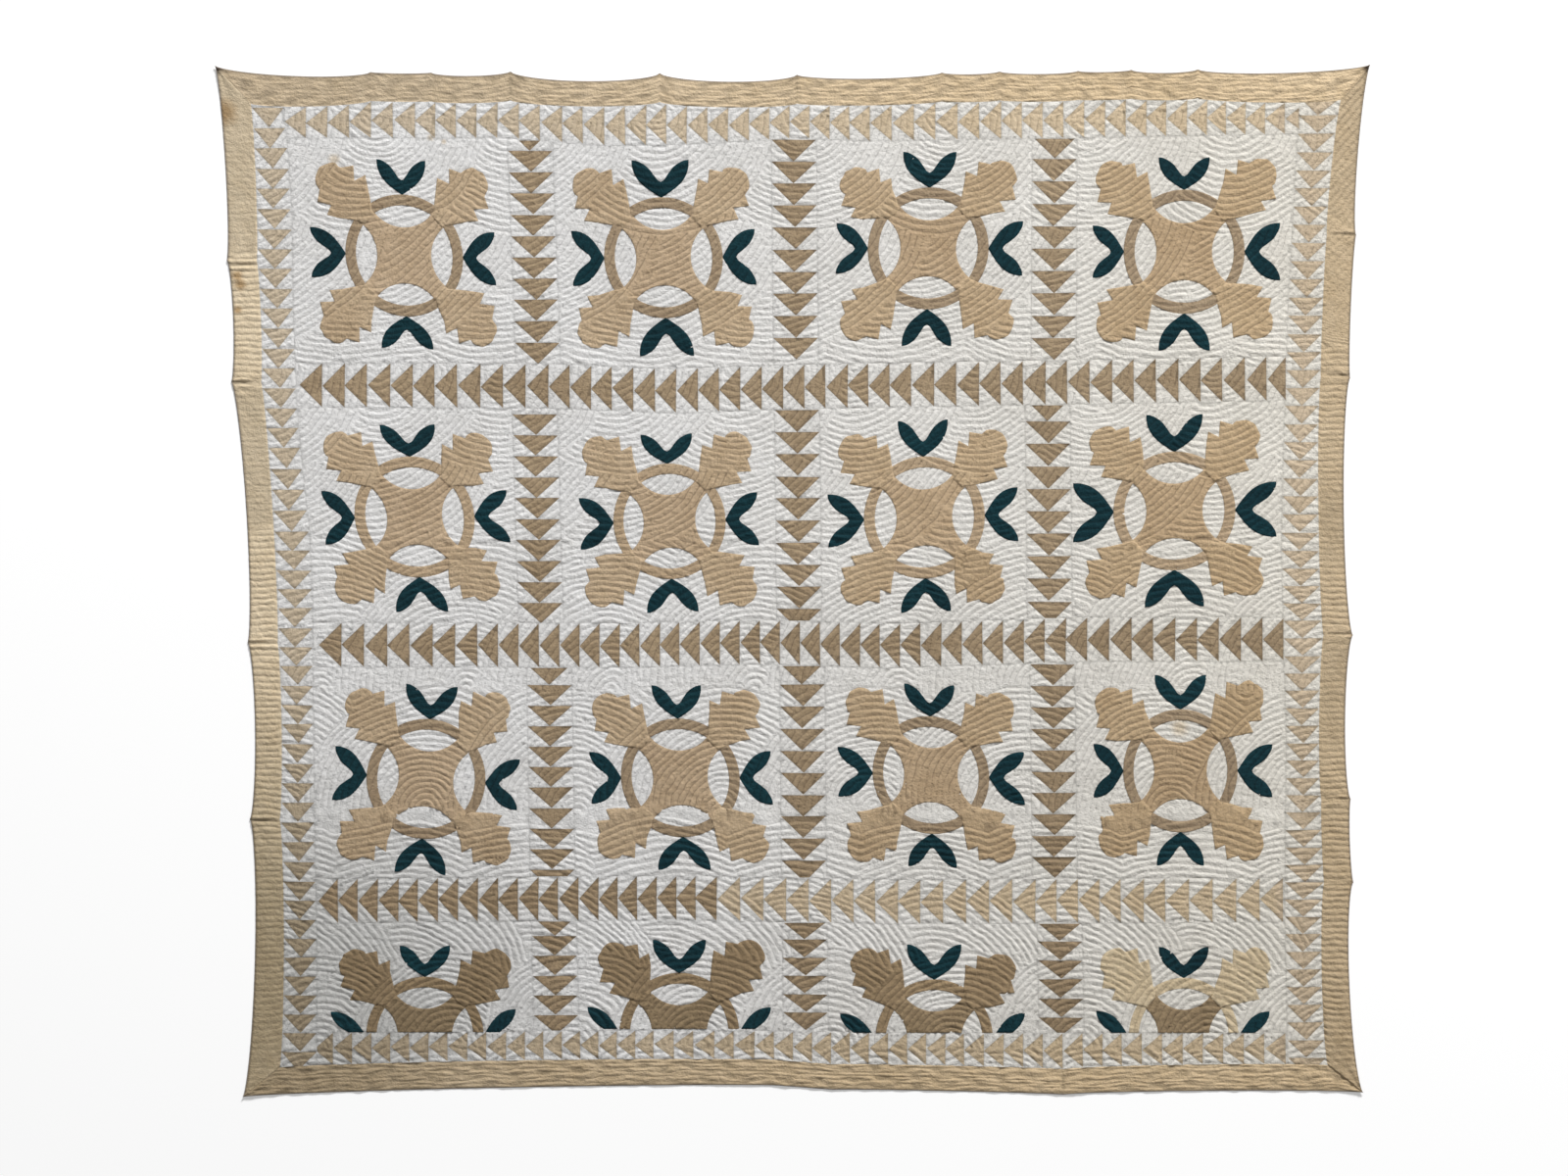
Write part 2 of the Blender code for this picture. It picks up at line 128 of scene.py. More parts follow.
# Columns: x of the middle of each cross sash, in the rows of blocks from the top
CROSS_SASHES = [(-475, -468, -444, -436), (4, 10, 19, 23), (480, 470, 479, 492)]
# How far the foot of each cross sash stands to the right of its head
CROSS_LEANS = [(15, 12, 6, 4), (4, 4, 4, 2), (-2, 4, 4, 4)]

# Strips of triangles. Columns of each row: number of a triangle, place of its base along the strip.
STRIP_BASES = {
    "top": [
        (0, -894), (5, -694), (9, -542), (14, -345), (22, -43), (27, 142), (33, 383), (37, 536),
        (42, 724), (47, 904), (48, 941),
    ],
    "bottom": [
        (0, -844), (5, -669), (10, -491), (17, -255), (23, -34), (33, 315), (41, 605), (46, 790),
        (49, 905),
    ],
    "left": [
        (0, 868), (6, 645), (12, 426), (17, 243), (21, 90), (30, -228), (40, -588), (48, -866),
    ],
    "right": [(0, 887), (6, 687), (13, 453), (19, 254), (26, 22), (36, -299), (45, -585), (54, -876)],
    "sash1": [(0, -864), (10, -449), (27, 218), (30, 342), (43, 871), (44, 905)],
    "sash2": [(0, -828), (6, -578), (10, -428), (27, 197), (35, 501), (45, 904)],
    "sash3": [
        (0, -835), (12, -393), (18, -178), (19, -140), (20, -96), (23, 30), (28, 234), (33, 445),
        (37, 603), (39, 685), (44, 900),
    ],
}
PALE_FROM = 20  # number of the first pale triangle in the lowest sash
# The same for the cross sashes. Columns: base of the first and of the last triangle, their count.
CROSS_BASES = [
    [(789, 437, 10), (305, -41, 10), (-154, -531, 11), (-653, -798, 5)],
    [(810, 446, 10), (313, -52, 10), (-151, -514, 10), (-626, -792, 6)],
    [(815, 445, 10), (334, -38, 10), (-154, -508, 10), (-628, -802, 6)],
]
TIP_GAP = 0.2  # from a triangle's tip to the next base
BASE_INSET = 0.1  # from the end of a base to the edge of the strip
LEAST_GOOSE = 10.0  # a triangle that a seam leaves lower than this is lost in the seam

# The motifs. Columns: x, y of the middle, half width and half height of the ring,
# lean of its top to the right, rise of its right side, size of its oak leaves.
MOTIFS = [
    [(-713, 597, 108, 112, -4, -4, 0.98), (-237, 593, 109, 111, -4, 1, 0.99),
     (249, 610, 111, 112, 2, 0, 0.96), (719, 604, 111, 114, 0, 0, 0.97)],
    [(-694, 117, 110, 111, -9, 1, 0.95), (-226, 109, 103, 106, -4, 3, 1.00),
     (242, 116, 111, 112, -2, 4, 0.93), (701, 128, 112, 109, 0, 2, 0.97)],
    [(-673, -364, 109, 110, 7, -7, 0.95), (-206, -362, 109, 109, -5, 0, 0.95),
     (254, -357, 107, 108, -2, -4, 0.96), (712, -349, 105, 113, 0, 0, 0.97)],
    [(-675, -836, 108, 109, 0, 0, 0.97), (-208, -830, 110, 110, 0, 0, 0.97),
     (260, -841, 108, 109, 0, 0, 0.97), (718, -838, 101, 109, 0, 0, 1.00)],
]
# Oak leaves that were sewn on well beside their diagonal. Columns: row and column of the motif,
# quarter (0 top right, then to the left round), how far to the right and how far up.
LEAVES_OFF = [
    (1, 1, 3, 6, 4), (1, 3, 1, -3, -12), (1, 3, 2, 1, -7), (1, 3, 3, -1, -6), (1, 4, 0, 8, 5),
    (1, 4, 3, 2, 6), (2, 1, 0, -5, -6), (2, 1, 3, -11, 4), (2, 2, 2, -4, 6), (2, 3, 3, -10, -5),
    (2, 4, 0, -6, 6), (2, 4, 1, 7, -2), (3, 1, 0, -10, 9), (3, 1, 3, 8, 8), (3, 2, 0, -4, 6),
    (3, 2, 2, -4, 7), (3, 3, 2, -2, -8), (3, 4, 1, -4, -12), (3, 4, 2, 4, 6), (4, 2, 0, -4, 10),
    (4, 2, 1, 12, 5), (4, 3, 0, -8, -3), (4, 3, 1, 5, 8), (4, 4, 0, 8, 0),
]
LEAF_HELD = 95.0  # a leaf's foot keeps its place up to this distance from the middle
LEAF_FREE = 135.0  # and all of it beyond this one is moved
HALF_CUT = [-829, -823, -830, -830]
RING = 111.0
# One side of an oak leaf. Columns: distance from the middle along the diagonal, half width.
LEAF = [
    (92, 14.5), (98, 16), (111, 25), (135, 41), (153, 54), (160, 33), (182, 51), (194, 30),
    (200, 30), (208, 27), (216, 20), (221, 10), (223, 0),
]
# Columns: distance to the side, distance out from the ring
PAIR_OUTER = [(0, -1), (15, 8.5), (28, 18), (38.5, 29), (45, 41), (48, 52.5), (48.5, 63)]
PAIR_INNER = [(48.5, 63), (40.5, 62), (31, 57.5), (21.5, 50.5), (13.5, 40.5), (6, 30), (0, 26)]
PAIR_SIZES = {(2, 4): 1.1, (1, 2): 1.04}  # of the motif in this row and column
OPENING_TIP = (54, 77)  # sideways and outward
OPENING_RING_SIDE = (98.4, -7.4)  # radius and middle of the arc on the ring's side
OPENING_REEL_SIDE = (68.7, 119.7)  # the same on the reel's side
ARC_HALF_TURN = 40.0  # degrees from the middle of a ring's arc to its hidden end

# Rows of quilted fans in the order of sewing. Columns: y of the middles, x of the first middle,
# step to the next (below zero where a row runs to the left), radius, and 1 where the arcs rise above
# their middle or -1 where they hang below it.
FAN_ROWS = [
    (-855, 1231, -233, 178, 1), (-785, -1200, 241, 254, 1), (-425, 1240, -273, 233, 1),
    (-205, 1263, -266, 245, 1), (-165, -1160, 300, 182, 1), (858, -1037, 263, 222, -1),
    (740, -1290, 246, 330, -1), (394, -980, 219, 200, -1), (300, -1220, 219, 260, -1),
    (-1012, 1180, -205, 172, 1), (1012, -1180, 205, 172, -1),
]
FANS_ALONG = 2300.0  # length of a row from its first middle to its last
FANS_MEET_Y = 70.0  # the rows from below and the rows from above meet here
FAN_REACH = 1.35  # how far the lines of a fan go on where no other fan meets it
FAN_BEHIND = 400.0  # a fan is this much less likely to go on behind its own base line


def waves(x, y, length, seed, count=7):
    """Smooth noise of about -1 to 1 with bumps of this length, the same on every run."""
    draw = random.Random(seed)
    total = np.zeros_like(x)
    for _ in range(count):
        angle = draw.uniform(0, math.tau)
        turns = math.tau / (length * draw.uniform(0.7, 1.5))
        start = draw.uniform(0, math.tau)
        total += np.sin((x * math.cos(angle) + y * math.sin(angle)) * turns + start)
    return total / math.sqrt(count)


def layered(x, y, noises, start=0.0):
    """Some noises on top of a start value. Columns: height, length of the waves, seed."""
    return sum((height * waves(x, y, length, seed) for height, length, seed in noises), start)


# Outline and borders

LIFT_REACH = 38.0  # how far along the edge a lifted corner or pin is felt


def side_stations(side):
    """Outer and inner points along one side, and how far each outer point is lifted."""
    here = SIDES[side]
    following = SIDES[SIDE_ORDER[(SIDE_ORDER.index(side) + 1) % 4]]
    inward = np.array(here["inward"], float)
    rows = here["points"] + [following["points"][0]]
    outer = [np.array(row[:2], float) for row in rows]
    inner = [point + inward * here["width"] for point in outer]
    inner[0] = np.array(here["inner_start"], float)
    inner[-1] = np.array(following["inner_start"], float)
    lifted = [CORNER_LIFT] + [PIN_LIFT] * (len(rows) - 2) + [CORNER_LIFT]
    outs, ins, lifts = [], [], []
    for index in range(len(rows) - 1):
        sag = rows[index][2]
        length = np.linalg.norm(outer[index + 1] - outer[index])
        steps = max(1, round(length / STATIONS[side]))
        for step in range(steps + (index == len(rows) - 2)):
            part = step / steps
            dip = inward * sag * (4 * part * (1 - part)) ** SAG_SHAPE
            outs.append(outer[index] + (outer[index + 1] - outer[index]) * part + dip)
            ins.append(inner[index] + (inner[index + 1] - inner[index]) * part + dip * here["follow"])
            near_start = math.exp(-part * length / LIFT_REACH)
            near_end = math.exp(-(1 - part) * length / LIFT_REACH)
            lifts.append(lifted[index] * near_start + lifted[index + 1] * near_end)
    return np.array(outs), np.array(ins), np.array(lifts)


STATIONS_OF = {side: side_stations(side) for side in SIDE_ORDER}
OUTLINE = np.concatenate([STATIONS_OF[side][1][:-1] for side in SIDE_ORDER])
# The points where the edge is drawn outward, and whether each is a corner
PINS = [
    (x, y, index == 0)
    for side in SIDE_ORDER for index, (x, y, _) in enumerate(SIDES[side]["points"])
]


def inside(points, loop):
    """True for each point that lies inside the closed loop."""
    some = np.nonzero(((points > loop.min(0)) & (points < loop.max(0))).all(1))[0]
    x, y = points[some].T
    found = np.zeros(x.shape, bool)
    for (ax, ay), (bx, by) in zip(loop, np.roll(loop, -1, axis=0)):
        if ay != by:
            across = (ay > y) != (by > y)
            found ^= across & (x < ax + (y - ay) * (bx - ax) / (by - ay))
    hit = np.zeros(len(points), bool)
    hit[some] = found
    return hit


# Quilted lines

FANS = [
    (first_x + number * step, middle_y, radius, way)
    for middle_y, first_x, step, radius, way in FAN_ROWS
    for number in range(math.ceil(FANS_ALONG / abs(step)) + 1)
]
# How far a hand-drawn line strays to the side and up. Columns: distance, length of the waves, seed.
STRAY_X = [(5.0, 210, 11), (1.1, 46, 12), (0.4, 20, 15)]
STRAY_Y = [(5.0, 230, 13), (1.1, 52, 14), (0.4, 23, 16)]


def undrifted(x, y):
    """Where a compass would have put the lines that a hand drew here."""
    back_x, back_y = x, y
    for _ in range(3):
        dx, dy = (layered(back_x, back_y, stray) for stray in (STRAY_X, STRAY_Y))
        back_x, back_y = x - dx, y - dy
    return back_x, back_y


def fan_of(x, y):
    """Number of the fan that was sewn over each point, and the distance from its middle."""
    owner = np.full(x.shape, -1)
    sewn = np.zeros(x.shape, bool)
    reach = np.zeros(x.shape)
    closest = np.full(x.shape, np.inf)
    side = np.where(y < FANS_MEET_Y, 1, -1)
    for number, (middle_x, middle_y, radius, way) in enumerate(FANS):
        near = np.nonzero((np.abs(x - middle_x) < radius * FAN_REACH) & (side == way) & ~sewn)[0]
        ahead = (y[near] - middle_y) * way
        far = np.hypot(x[near] - middle_x, ahead)
        taken = (ahead >= 0) & (far <= radius)
        spare = np.where(ahead >= 0, far - radius, far - radius + FAN_BEHIND)
        better = taken | (spare < closest[near])
        some = near[better]
        owner[some] = number
        reach[some] = far[better]
        closest[some] = spare[better]
        sewn[near[taken]] = True
    return owner, reach


def puff(x, y):
    """How puffed the cloth is, 0 along a quilted line and 1 between two lines."""
    _, reach = fan_of(*undrifted(x, y))
    return np.abs(np.sin(math.pi * reach / LINE_PITCH)) ** PUFF_SHAPE


OUTLINE_MARGIN = 20  # beyond the outline no points are made


def fan_points():
    """Points in rings along the quilted lines, on the ridges between them and halfway."""
    spots, numbers = [], []
    for number, (middle_x, middle_y, radius, way) in enumerate(FANS):
        for ring in range(1, int(radius * FAN_REACH / LINE_PITCH * RINGS_A_LINE) + 1):
            far = ring * LINE_PITCH / RINGS_A_LINE
            steps = max(4, round(math.pi * far / POINT_STEP))
            angle = math.pi * (np.arange(steps) + (ring % 2) * 0.5) / steps
            x, y = middle_x + far * np.cos(angle), middle_y + far * np.sin(angle) * way
            spots.append(np.column_stack([x, y]))
            numbers.append(np.full(steps, number))
    spots, numbers = np.concatenate(spots), np.concatenate(numbers)
    low, high = OUTLINE.min(0) - OUTLINE_MARGIN, OUTLINE.max(0) + OUTLINE_MARGIN
    kept = ((spots > low) & (spots < high)).all(1)
    spots, numbers = spots[kept], numbers[kept]
    owner, _ = fan_of(*spots.T)
    x, y = spots[owner == numbers].T
    return np.column_stack([x + layered(x, y, STRAY_X), y + layered(x, y, STRAY_Y)])


CELL = 2.3  # two points this close are made one
FILL_STEP = 5.0  # between points where no fan leaves any
FILL_FROM, FILL_TO = (-1060, -950), (1060, 950)
FILL_CLEAR = 1.5  # of such a point from all others, in steps
MAP_HALF = 1100.0  # a map of taken places reaches this far from the middle
MAP_CELL = 1.0  # side of a cell in the map of the seams
MARK_STEP = 0.8  # between the marks of a seam in it


def closed(run):
    return np.concatenate([run, run[:1]])


def densify(run, step):
    """Points at about this step along an open run, its corners kept."""
    parts = []
    for a, b in zip(run[:-1], run[1:]):
        steps = max(1, math.ceil(math.hypot(*(b - a)) / step))
        parts.append(a + (b - a) * (np.arange(steps) / steps)[:, None])
    parts.append(run[-1:])
    return np.concatenate(parts)


def plain_grid(low, high, step):
    across, up = np.meshgrid(np.arange(low[0], high[0], step), np.arange(low[1], high[1], step))
    return np.column_stack([across.ravel(), up.ravel()])


def close_to(points, marks, cell, reach):
    """True for each point whose cell is at most this many cells away from one with a mark."""
    count = int(2 * MAP_HALF / cell)
    taken = np.zeros((count, count), bool)
    taken[tuple(((marks + MAP_HALF) / cell).astype(int).T)] = True
    wide = taken.copy()
    steps = range(-int(reach), int(reach) + 1)
    for i in steps:
        for j in steps:
            if math.hypot(i, j) <= reach:
                wide |= np.roll(np.roll(taken, i, 0), j, 1)
    return wide[tuple(((points + MAP_HALF) / cell).astype(int).T)]


def fill_gaps(points):
    """Adds a plain grid of points where the fans leave none."""
    grid = plain_grid(FILL_FROM, FILL_TO, FILL_STEP)
    return np.concatenate([points, grid[~close_to(grid, points, FILL_STEP, FILL_CLEAR)]])


def one_a_cell(points):
    """Drops points that lie almost on top of each other."""
    cells = np.floor(points / CELL).astype(np.int64)
    _, first = np.unique(cells[:, 0] * 100000 + cells[:, 1], return_index=True)
    return points[np.sort(first)]


def beside(points, runs, reach):
    """True for each point that lies within this reach of one of the runs."""
    marks = np.concatenate([densify(run, MARK_STEP) for run in runs])
    return close_to(points, marks, MAP_CELL, reach / MAP_CELL)


# Height of the cloth

# Folds at the drawn-out points, at a corner and elsewhere: height, folds in a full turn, reach
CORNER_FOLDS = (1.5, 14, 55)
PIN_FOLDS = (0.9, 11, 34)
FOLDS_END = 150.0  # no fold runs farther than this
FOLDS_START = 8.0  # and close to its point it is low
FOLDS_TURN = 1.7  # how far the folds of a point are turned on from those of the one before
FOLDS_INSIDE = 0.7  # how much of the folds of the edge is seen beside the borders
UNEVEN = [(0.28, 16, 21), (0.14, 60, 22)]  # of the ridges, as parts of their height
WRINKLE_HEIGHT = 0.19
WRINKLE_LENGTH = 9


def swell(x, y):
    wave = np.sin(math.tau * x / SWELL_LONG) * np.cos(math.tau * y / SWELL_HIGH)
    return SWELL * (0.5 + 0.5 * wave)


def edge_folds(x, y):
    """Small folds that run in from the points where the edge is drawn outward."""
    total = np.zeros_like(x)
    for number, (px, py, corner) in enumerate(PINS):
        away = np.hypot(x - px, y - py)
        near = np.nonzero(away < FOLDS_END)[0]
        turn = np.arctan2(y[near] - py, x[near] - px)
        far = away[near]
        height, folds, reach = CORNER_FOLDS if corner else PIN_FOLDS
        fold = np.cos(turn * folds + number * FOLDS_TURN) * np.exp(-far / reach)
        total[near] += height * fold * (far / (far + FOLDS_START))
    return total


def cloth_top(x, y, puffed):
    """Height of the quilted top, without seams and sewn-on pieces."""
    tight = np.interp(y, TIGHT_AT, TIGHTNESS)
    relief = (RIDGE_TOP - TROUGH_TOP) * puffed * layered(x, y, UNEVEN, 1.0) * tight
    wrinkles = WRINKLE_HEIGHT * waves(x, y, WRINKLE_LENGTH, 23, 9)
    return TROUGH_TOP + relief + wrinkles + swell(x, y) + edge_folds(x, y) * FOLDS_INSIDE


# Meshes

MERGED = 0.03  # points of a mesh this close are made one


def fill_loop(loop, points, runs=()):
    """Fills a loop with triangles that face up and keep to its edge and to the runs.

    Returns their points and corners, and whether each point lies on the loop or on a run.
    """
    edges = [(i, (i + 1) % len(loop)) for i in range(len(loop))]
    start = len(loop)
    for run in runs:
        edges += [(start + i, start + i + 1) for i in range(len(run) - 1)]
        start += len(run)
    spots = [Vector((float(x), float(y))) for x, y in np.concatenate([loop, *runs, points])]
    verts, _, faces, origins, _, _ = delaunay_2d_cdt(spots, edges, [], 0, MERGED, True)
    flat = np.array([tuple(spot) for spot in verts])
    on_seam = np.array([min(found) if found else -1 for found in origins]) < start
    faces = np.array(faces, dtype=np.int64)
    faces = faces[inside(flat[faces].mean(1), loop)]
    a, b, c = (flat[faces[:, i]] for i in range(3))
    down = np.cross(b - a, c - a) < 0
    faces[down] = faces[down][:, ::-1]
    return flat, faces, on_seam


def between_rows(rows, count):
    """Faces of four corners between rows of this many points each."""
    first = (np.arange(rows - 1)[:, None] * count + np.arange(count - 1)).ravel()
    return np.column_stack([first, first + 1, first + 1 + count, first + count])


def add_object(name, data):
    thing = bpy.data.objects.new(name, data)
    bpy.context.scene.collection.objects.link(thing)
    return thing


def add_mesh(name, points, faces, material, values=None):
    """Adds a smooth mesh from points in millimetres; drops points that no face uses."""
    used, flat = np.unique(faces, return_inverse=True)
    faces = flat.reshape(faces.shape)
    points = points[used]
    mesh = bpy.data.meshes.new(name)
    count, corners = faces.shape
    mesh.vertices.add(len(points))
    mesh.vertices.foreach_set("co", (points * MM).astype(np.float32).ravel())
    mesh.loops.add(count * corners)
    mesh.loops.foreach_set("vertex_index", faces.astype(np.int32).ravel())
    mesh.polygons.add(count)
    mesh.polygons.foreach_set("loop_start", np.arange(0, count * corners, corners, dtype=np.int32))
    mesh.polygons.foreach_set("use_smooth", np.ones(count, bool))
    mesh.materials.append(material)
    mesh.update(calc_edges=True)
    mesh.validate()
    if values is not None:
        puffs = mesh.attributes.new("puff", "FLOAT", "POINT")
        puffs.data.foreach_set("value", values[used].astype(np.float32))
    return add_object(name, mesh)


# The pieced ground

ALONG = {"top": 0, "right": 1, "bottom": 0, "left": 1}  # the axis along which each side runs


def as_line(points, along):
    """A line of points as a function of the place on one axis."""
    points = np.array(points, float)
    points = points[np.argsort(points[:, along])]
    return lambda place: np.interp(place, points[:, along], points[:, 1 - along])


def shifted(line, by):
    return lambda place: line(place) + by


left_x = as_line(LEFT_STRIP, 1)
right_x = as_line(RIGHT_STRIP, 1)
top_y = as_line(TOP_STRIP, 0)
bottom_y = as_line(BOTTOM_STRIP, 0)
sash_ys = [as_line(run, 0) for run in SASHES]
border_seam = {side: as_line(STATIONS_OF[side][1], ALONG[side]) for side in SIDE_ORDER}


def row_limits(row):
    """Functions that give the lower and the upper edge of a row of blocks at x."""
    upper = top_y if row == 0 else shifted(sash_ys[row - 1], -SASH / 2)
    lower = bottom_y if row == 3 else shifted(sash_ys[row], SASH / 2)
    return lower, upper


def cross_middle(column, row):
    """The middle of a cross sash as a function of y."""
    x = CROSS_SASHES[column][row]
    low, high = (float(limit(x)) for limit in row_limits(row))
    lean = CROSS_LEANS[column][row]
    return lambda y: x + lean * ((high + low) / 2 - y) / (high - low)


def clipped(polygon, axis, limit, keep_above):
    """The part of a polygon on one side of a limit on one axis."""
    out = []
    for a, b in zip(polygon, polygon[1:] + polygon[:1]):
        a_in = (a[axis] >= limit) == keep_above
        b_in = (b[axis] >= limit) == keep_above
        if a_in:
            out.append(a)
        if a_in != b_in:
            part = (limit - a[axis]) / (b[axis] - a[axis])
            spot = [a[k] + (b[k] - a[k]) * part for k in range(2)]
            spot[axis] = limit
            out.append(tuple(spot))
    return out


# How far the hand strays, each way unless a second value stands there
BASE_STRAY = 0.7
BASE_SKEW = 0.9
INSET_STRAY = (0.0, 0.8)
LENGTH_STRAY = (0.0, 1.0)
TIP_STRAY = 1.8
BASE_CLEAR = 1  # a base this close to the end of its strip has no seams of its own
CROSS_CLEAR = 0.5  # between the end of a cross strip and the seam above or below
SASH_END = 900  # about where the sashes meet the strips at the left and at the right
CORNER_CLEAR = 2  # a corner of a seam this close to its cut end is left out


def strip_geese(bases, pitches, low, high, limits, along, draw):
    """Triangles of one strip, each with its number, and the seams from their bases to the edges."""
    geese, seams = [], []
    way = 1 if along == 0 else -1
    for number, (base, pitch) in enumerate(zip(bases, pitches)):
        base += draw.uniform(-BASE_STRAY, BASE_STRAY)
        length = pitch - TIP_GAP - draw.uniform(*LENGTH_STRAY)
        start, end = float(low(base)), float(high(base))
        inset = [BASE_INSET + draw.uniform(*INSET_STRAY) for _ in range(2)]
        skew = draw.uniform(-BASE_SKEW, BASE_SKEW)
        tip = base - length
        middle = (float(low(tip)) + float(high(tip))) / 2 + draw.uniform(-TIP_STRAY, TIP_STRAY)
        corners = [(base, start + inset[0]), (base + skew, end - inset[1]), (tip, middle)]
        goose = corners
        for limit, above in zip(limits, (True, False)):
            goose = clipped(goose, 0, limit, above)
        places = [spot[0] for spot in goose]
        if len(goose) >= 3 and max(places) - min(places) > LEAST_GOOSE:
            geese.append((number, [spot[::way] for spot in goose]))
        if limits[0] + BASE_CLEAR < base < limits[1] - BASE_CLEAR:
            seams += [
                [(base, start)[::way], corners[0][::way]],
                [corners[1][::way], (base + skew, end)[::way]],
            ]
    return geese, seams


def make_strips():
    """The triangles and the short seams of each strip."""
    frames = {
        "top": (top_y, border_seam["top"], (-934, 930), 0),
        "bottom": (border_seam["bottom"], bottom_y, (-873, 915), 0),
        "left": (border_seam["left"], left_x, (-1000, 1000), 1),
        "right": (right_x, border_seam["right"], (-1000, 1000), 1),
    }
    for index, middle in enumerate(sash_ys):
        limits = (float(left_x(middle(-SASH_END))), float(right_x(middle(SASH_END))))
        frames[f"sash{index + 1}"] = (shifted(middle, -SASH / 2), shifted(middle, SASH / 2), limits, 0)
    draw = random.Random(5)
    strips = {}
    for name, anchors in STRIP_BASES.items():
        bases = np.interp(np.arange(anchors[-1][0] + 1), *zip(*anchors))
        strips[name] = strip_geese(bases, np.abs(np.gradient(bases)), *frames[name], draw)
    for column, rows in enumerate(CROSS_BASES):
        for row, (first, last, count) in enumerate(rows):
            pitch = (first - last) / (count - 1)
            bases = first - pitch * np.arange(-1, count + 1)
            middle = cross_middle(column, row)
            lower, upper = (float(limit(CROSS_SASHES[column][row])) for limit in row_limits(row))
            strips[f"cross{row + 1}_{column + 1}"] = strip_geese(
                bases, np.full(len(bases), pitch), shifted(middle, -CROSS_SASH / 2),
                shifted(middle, CROSS_SASH / 2), (lower + CROSS_CLEAR, upper - CROSS_CLEAR), 1, draw,
            )
    return strips


def trimmed(run):
    """A run along x cut off where it meets the strips at the left and at the right."""
    ends = []
    for side, x in ((left_x, run[0][0]), (right_x, run[-1][0])):
        for _ in range(4):
            y = float(as_line(run, 0)(x))
            x = float(side(y))
        ends.append((x, y))
    first, last = ends[0][0] + CORNER_CLEAR, ends[1][0] - CORNER_CLEAR
    middle = [point for point in run if first < point[0] < last]
    return np.array([ends[0]] + middle + [ends[1]], float)


def ground_seams(strips):
    """Every seam of the ground as a run of closely spaced points."""
    runs = [LEFT_STRIP, RIGHT_STRIP, trimmed(TOP_STRIP), trimmed(BOTTOM_STRIP)]
    for sash in SASHES:
        for half in (-SASH / 2, SASH / 2):
            runs.append(trimmed([(x, y + half) for x, y in sash]))
    for column in range(3):
        for row in range(4):
            middle = cross_middle(column, row)
            for half in (-CROSS_SASH / 2, CROSS_SASH / 2):
                ends = []
                for limit in row_limits(row)[::-1]:
                    x = float(CROSS_SASHES[column][row])
                    for _ in range(3):
                        x = float(middle(float(limit(x)))) + half
                    ends.append((x, float(limit(x))))
                runs.append(ends)
    for geese, seams in strips.values():
        runs += [closed(goose) for _, goose in geese] + seams
    return [densify(np.array(run, float), SEAM_STEP) for run in runs]


SEAM_CLEAR = 2.1  # around a seam the loose points are left out this far


def make_ground():
    """The pieced top: points, triangles, puff of each point, piece of each triangle, piece names."""
    strips = make_strips()
    runs = ground_seams(strips)
    points = fill_gaps(fan_points())
    points = points[inside(points, OUTLINE)]
    points = points[~beside(points, runs + [closed(OUTLINE)], SEAM_CLEAR)]
    flat, faces, on_seam = fill_loop(OUTLINE, one_a_cell(points), runs)
    puffed = puff(*flat.T)
    z = cloth_top(*flat.T, puffed) - SEAM_DIP * on_seam
    # painted shade: the seams are darkened as if shadowed
    puffed[on_seam] *= SEAM_SHADE
    piece, names = name_pieces(flat[faces].mean(1), strips)
    return np.column_stack([flat, z]), faces, puffed, piece, names


def name_pieces(middle, strips):
    """The cloth piece at each place of the ground, as its number in a list of names."""
    x, y = middle.T
    names = [f"block{row + 1}" for row in range(4)]
    piece = np.full(x.shape, -1)

    def mark(some, name):
        if name not in names:
            names.append(name)
        piece[some] = names.index(name)

    is_left, is_right = x < left_x(y), x > right_x(y)
    free = ~(is_left | is_right)
    mark(is_left, "strip_left")
    mark(is_right, "strip_right")
    mark(free & (y >= top_y(x)), "strip_top")
    mark(free & (y <= bottom_y(x)), "strip_bottom")
    for index, sash_y in enumerate(sash_ys):
        mark(free & (np.abs(y - sash_y(x)) <= SASH / 2), f"sash{index + 1}")
    for row in range(4):
        lower, upper = row_limits(row)
        here = free & (y > lower(x)) & (y < upper(x)) & (piece < 0)
        for column in range(3):
            cross = np.abs(x - cross_middle(column, row)(y)) <= CROSS_SASH / 2
            mark(here & cross, f"cross{row + 1}")
        mark(here & (piece < 0), f"block{row + 1}")
    for name, (geese, _) in strips.items():
        for index, goose in geese:
            kind = "geese_" + name.split("_")[0]
            if name == "sash3" and index >= PALE_FROM:
                kind = "geese_sash3_pale"
            mark(inside(middle, np.array(goose)), kind)
    return piece, names


# Borders

# How strongly the quilted lines show along each border. Columns: x or y, strength.
STRENGTH = {
    "top": [(-1000, 0.45), (200, 0.75)],
    "bottom": [(0, 1.0)],
    "left": [
        (-940, 0.6), (-500, 0.7), (-430, 1.0), (60, 0.9), (110, 0.3), (340, 0.3), (370, 0.8),
        (580, 0.75), (610, 0.3), (930, 0.3),
    ],
    "right": [
        (-940, 1.7), (-760, 1.4), (-640, 1.0), (-340, 1.0), (-300, 0.6), (-180, 0.45), (-120, 0.4),
        (-96, 1.0), (0, 0.8), (60, 0.4), (130, 0.35), (200, 0.6), (370, 0.85), (420, 0.75),
        (640, 0.8), (700, 0.45), (940, 0.5),
    ],
}
LENGTHWISE_PITCH = 8.4  # between the lines of the borders above and below
CROSSWISE_PITCH = 11.6  # between the lines of the side borders
UPPER_SLANT = -1.3  # rise of the lines of the upper right border
SLANT_FROM = 420  # they slant above this height
SLANT_WITHIN = 60
BORDER_PUFF_SHAPE = 0.6
